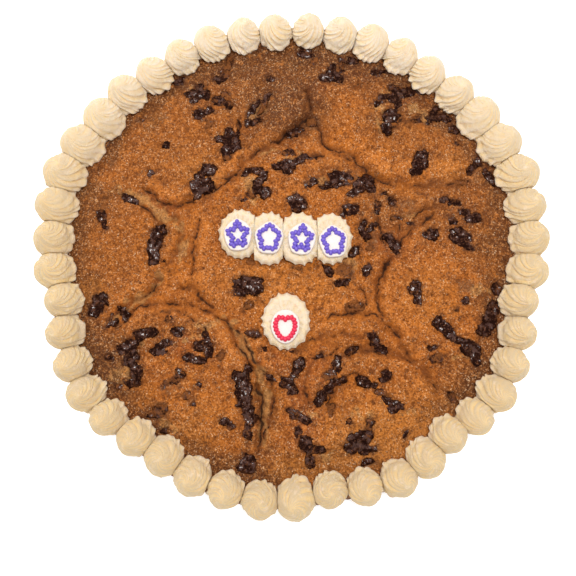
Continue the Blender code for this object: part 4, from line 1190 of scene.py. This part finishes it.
def makeBeads(name, motif, x, y, halfWidth, halfLength, lean, material, slot):
    tall, around = sugar["beadPoints"]
    tilt = np.linspace(-90.0, 90.0, tall)[:, None]
    degrees = 360.0 * np.arange(around)[None, :] / around
    across, height = polar(1.0, tilt)
    points, faces, count = [], [], 0
    for bx, by, way in evenPlaces(motif, halfWidth, halfLength):
        u, v = polar(across, degrees)
        u, v = turned(u * sugar["beadLength"], v * sugar["beadWidth"], way)
        u, v = turned(bx + u, by + v, lean)
        z = np.broadcast_to(sugar["top"] + sugar["beadRise"] * height, u.shape)
        body, skin = ringStack(np.stack([x + u, y + v, z], 2))
        points.append(body)
        faces.append(skin + count)
        count += len(body)
    name = pieceName("sugarBeads", name)
    piece = addPiece(name, np.concatenate(points), np.concatenate(faces), material)
    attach(piece, "root")


def sugarLook(name):
    light, dark, roughness = sugarTones[name]
    look = Look(name, Specular_IOR_Level=0.35, Subsurface_Weight=0.05, Subsurface_Scale=0.001)
    fine = look.noise(0.9, 3, 0.6, 31.0)
    colour = look.mix(fine.step(0.3, 0.7), paint(*dark), paint(*light))
    look.bump(fine, 0.12)
    return look.show(Base_Color=colour, Roughness=roughness + 0.1 * fine)


studio = {
    "fill": 0.85, "exposure": 0.0, "floorReach": 3000.0,
    "camera": (-2.0, -76.8, 324.5), "aim": (-2.05, -24.88, 14.0), "lens": 32.5, "sensor": 36.0,
    # name, place, aim, size, power, colour
    "lights": [
        ("overheadPanel", (80, 60, 560), (0, 0, 0), 180, 1.9, (1.0, 0.985, 0.96)),
        ("keyLamp", (-380, 300, 420), (0, 0, 0), 120, 1.0, (1.0, 0.985, 0.96)),
    ],
}


def aimed(thing, place, aim):
    thing.location = Vector(place) * mm
    thing.rotation_euler = (Vector(aim) - Vector(place)).to_track_quat("-Z", "Y").to_euler()
    bpy.context.scene.collection.objects.link(thing)


def floorLook():
    look = Look("paleBacking", Specular_IOR_Level=0.1, Emission_Strength=0.5)
    tone = look.noise(400, 2, 0.5, 41.0)
    colour = look.scale((0.93, 0.93, 0.93), 0.99 + 0.02 * tone)
    return look.show(Base_Color=colour, Emission_Color=colour, Roughness=0.8 + 0.1 * tone)


def makeStudio():
    reach = studio["floorReach"]
    corners = [(-reach, -reach, 0), (reach, -reach, 0), (reach, reach, 0), (-reach, reach, 0)]
    addPiece("paleFloor", corners, [(0, 1, 2, 3)], floorLook())
    for name, place, aim, size, power, colour in studio["lights"]:
        lamp = bpy.data.lights.new(name, "AREA")
        lamp.size = size * mm
        lamp.energy = power
        lamp.color = colour
        aimed(bpy.data.objects.new(name, lamp), place, aim)
    world = bpy.data.worlds.new("softRoom")
    world.use_nodes = True
    background = world.node_tree.nodes["Background"]
    background.inputs["Strength"].default_value = studio["fill"]
    background.inputs["Color"].default_value = (1.0, 1.0, 1.0, 1.0)
    scene = bpy.context.scene
    scene.world = world
    scene.view_settings.view_transform = "Standard"
    scene.view_settings.exposure = studio["exposure"]
    camera = bpy.data.cameras.new("overheadCamera")
    camera.lens = studio["lens"]
    camera.sensor_width = studio["sensor"]
    camera.clip_start = 0.01
    eye = bpy.data.objects.new("overheadCamera", camera)
    aimed(eye, studio["camera"], studio["aim"])
    scene.camera = eye


makeCookie(doughLook())
makeChocolate(chocolateLook())
cream = creamLook()
makeRosettes(cream)
makeDollops(cream)
whiteSugar, blueSugar, redSugar = (sugarLook(name) for name in ("whiteSugar", "blueSugar", "redSugar"))
for piece in sugarPieces:
    makePlate(*piece, whiteSugar)
    isHeart = piece[1] == "heart"
    makeBeads(*piece, redSugar if isHeart else blueSugar, "red_sugar" if isHeart else "blue_sugar")
print("sugar decorations made")
makeStudio()
print("studio made")
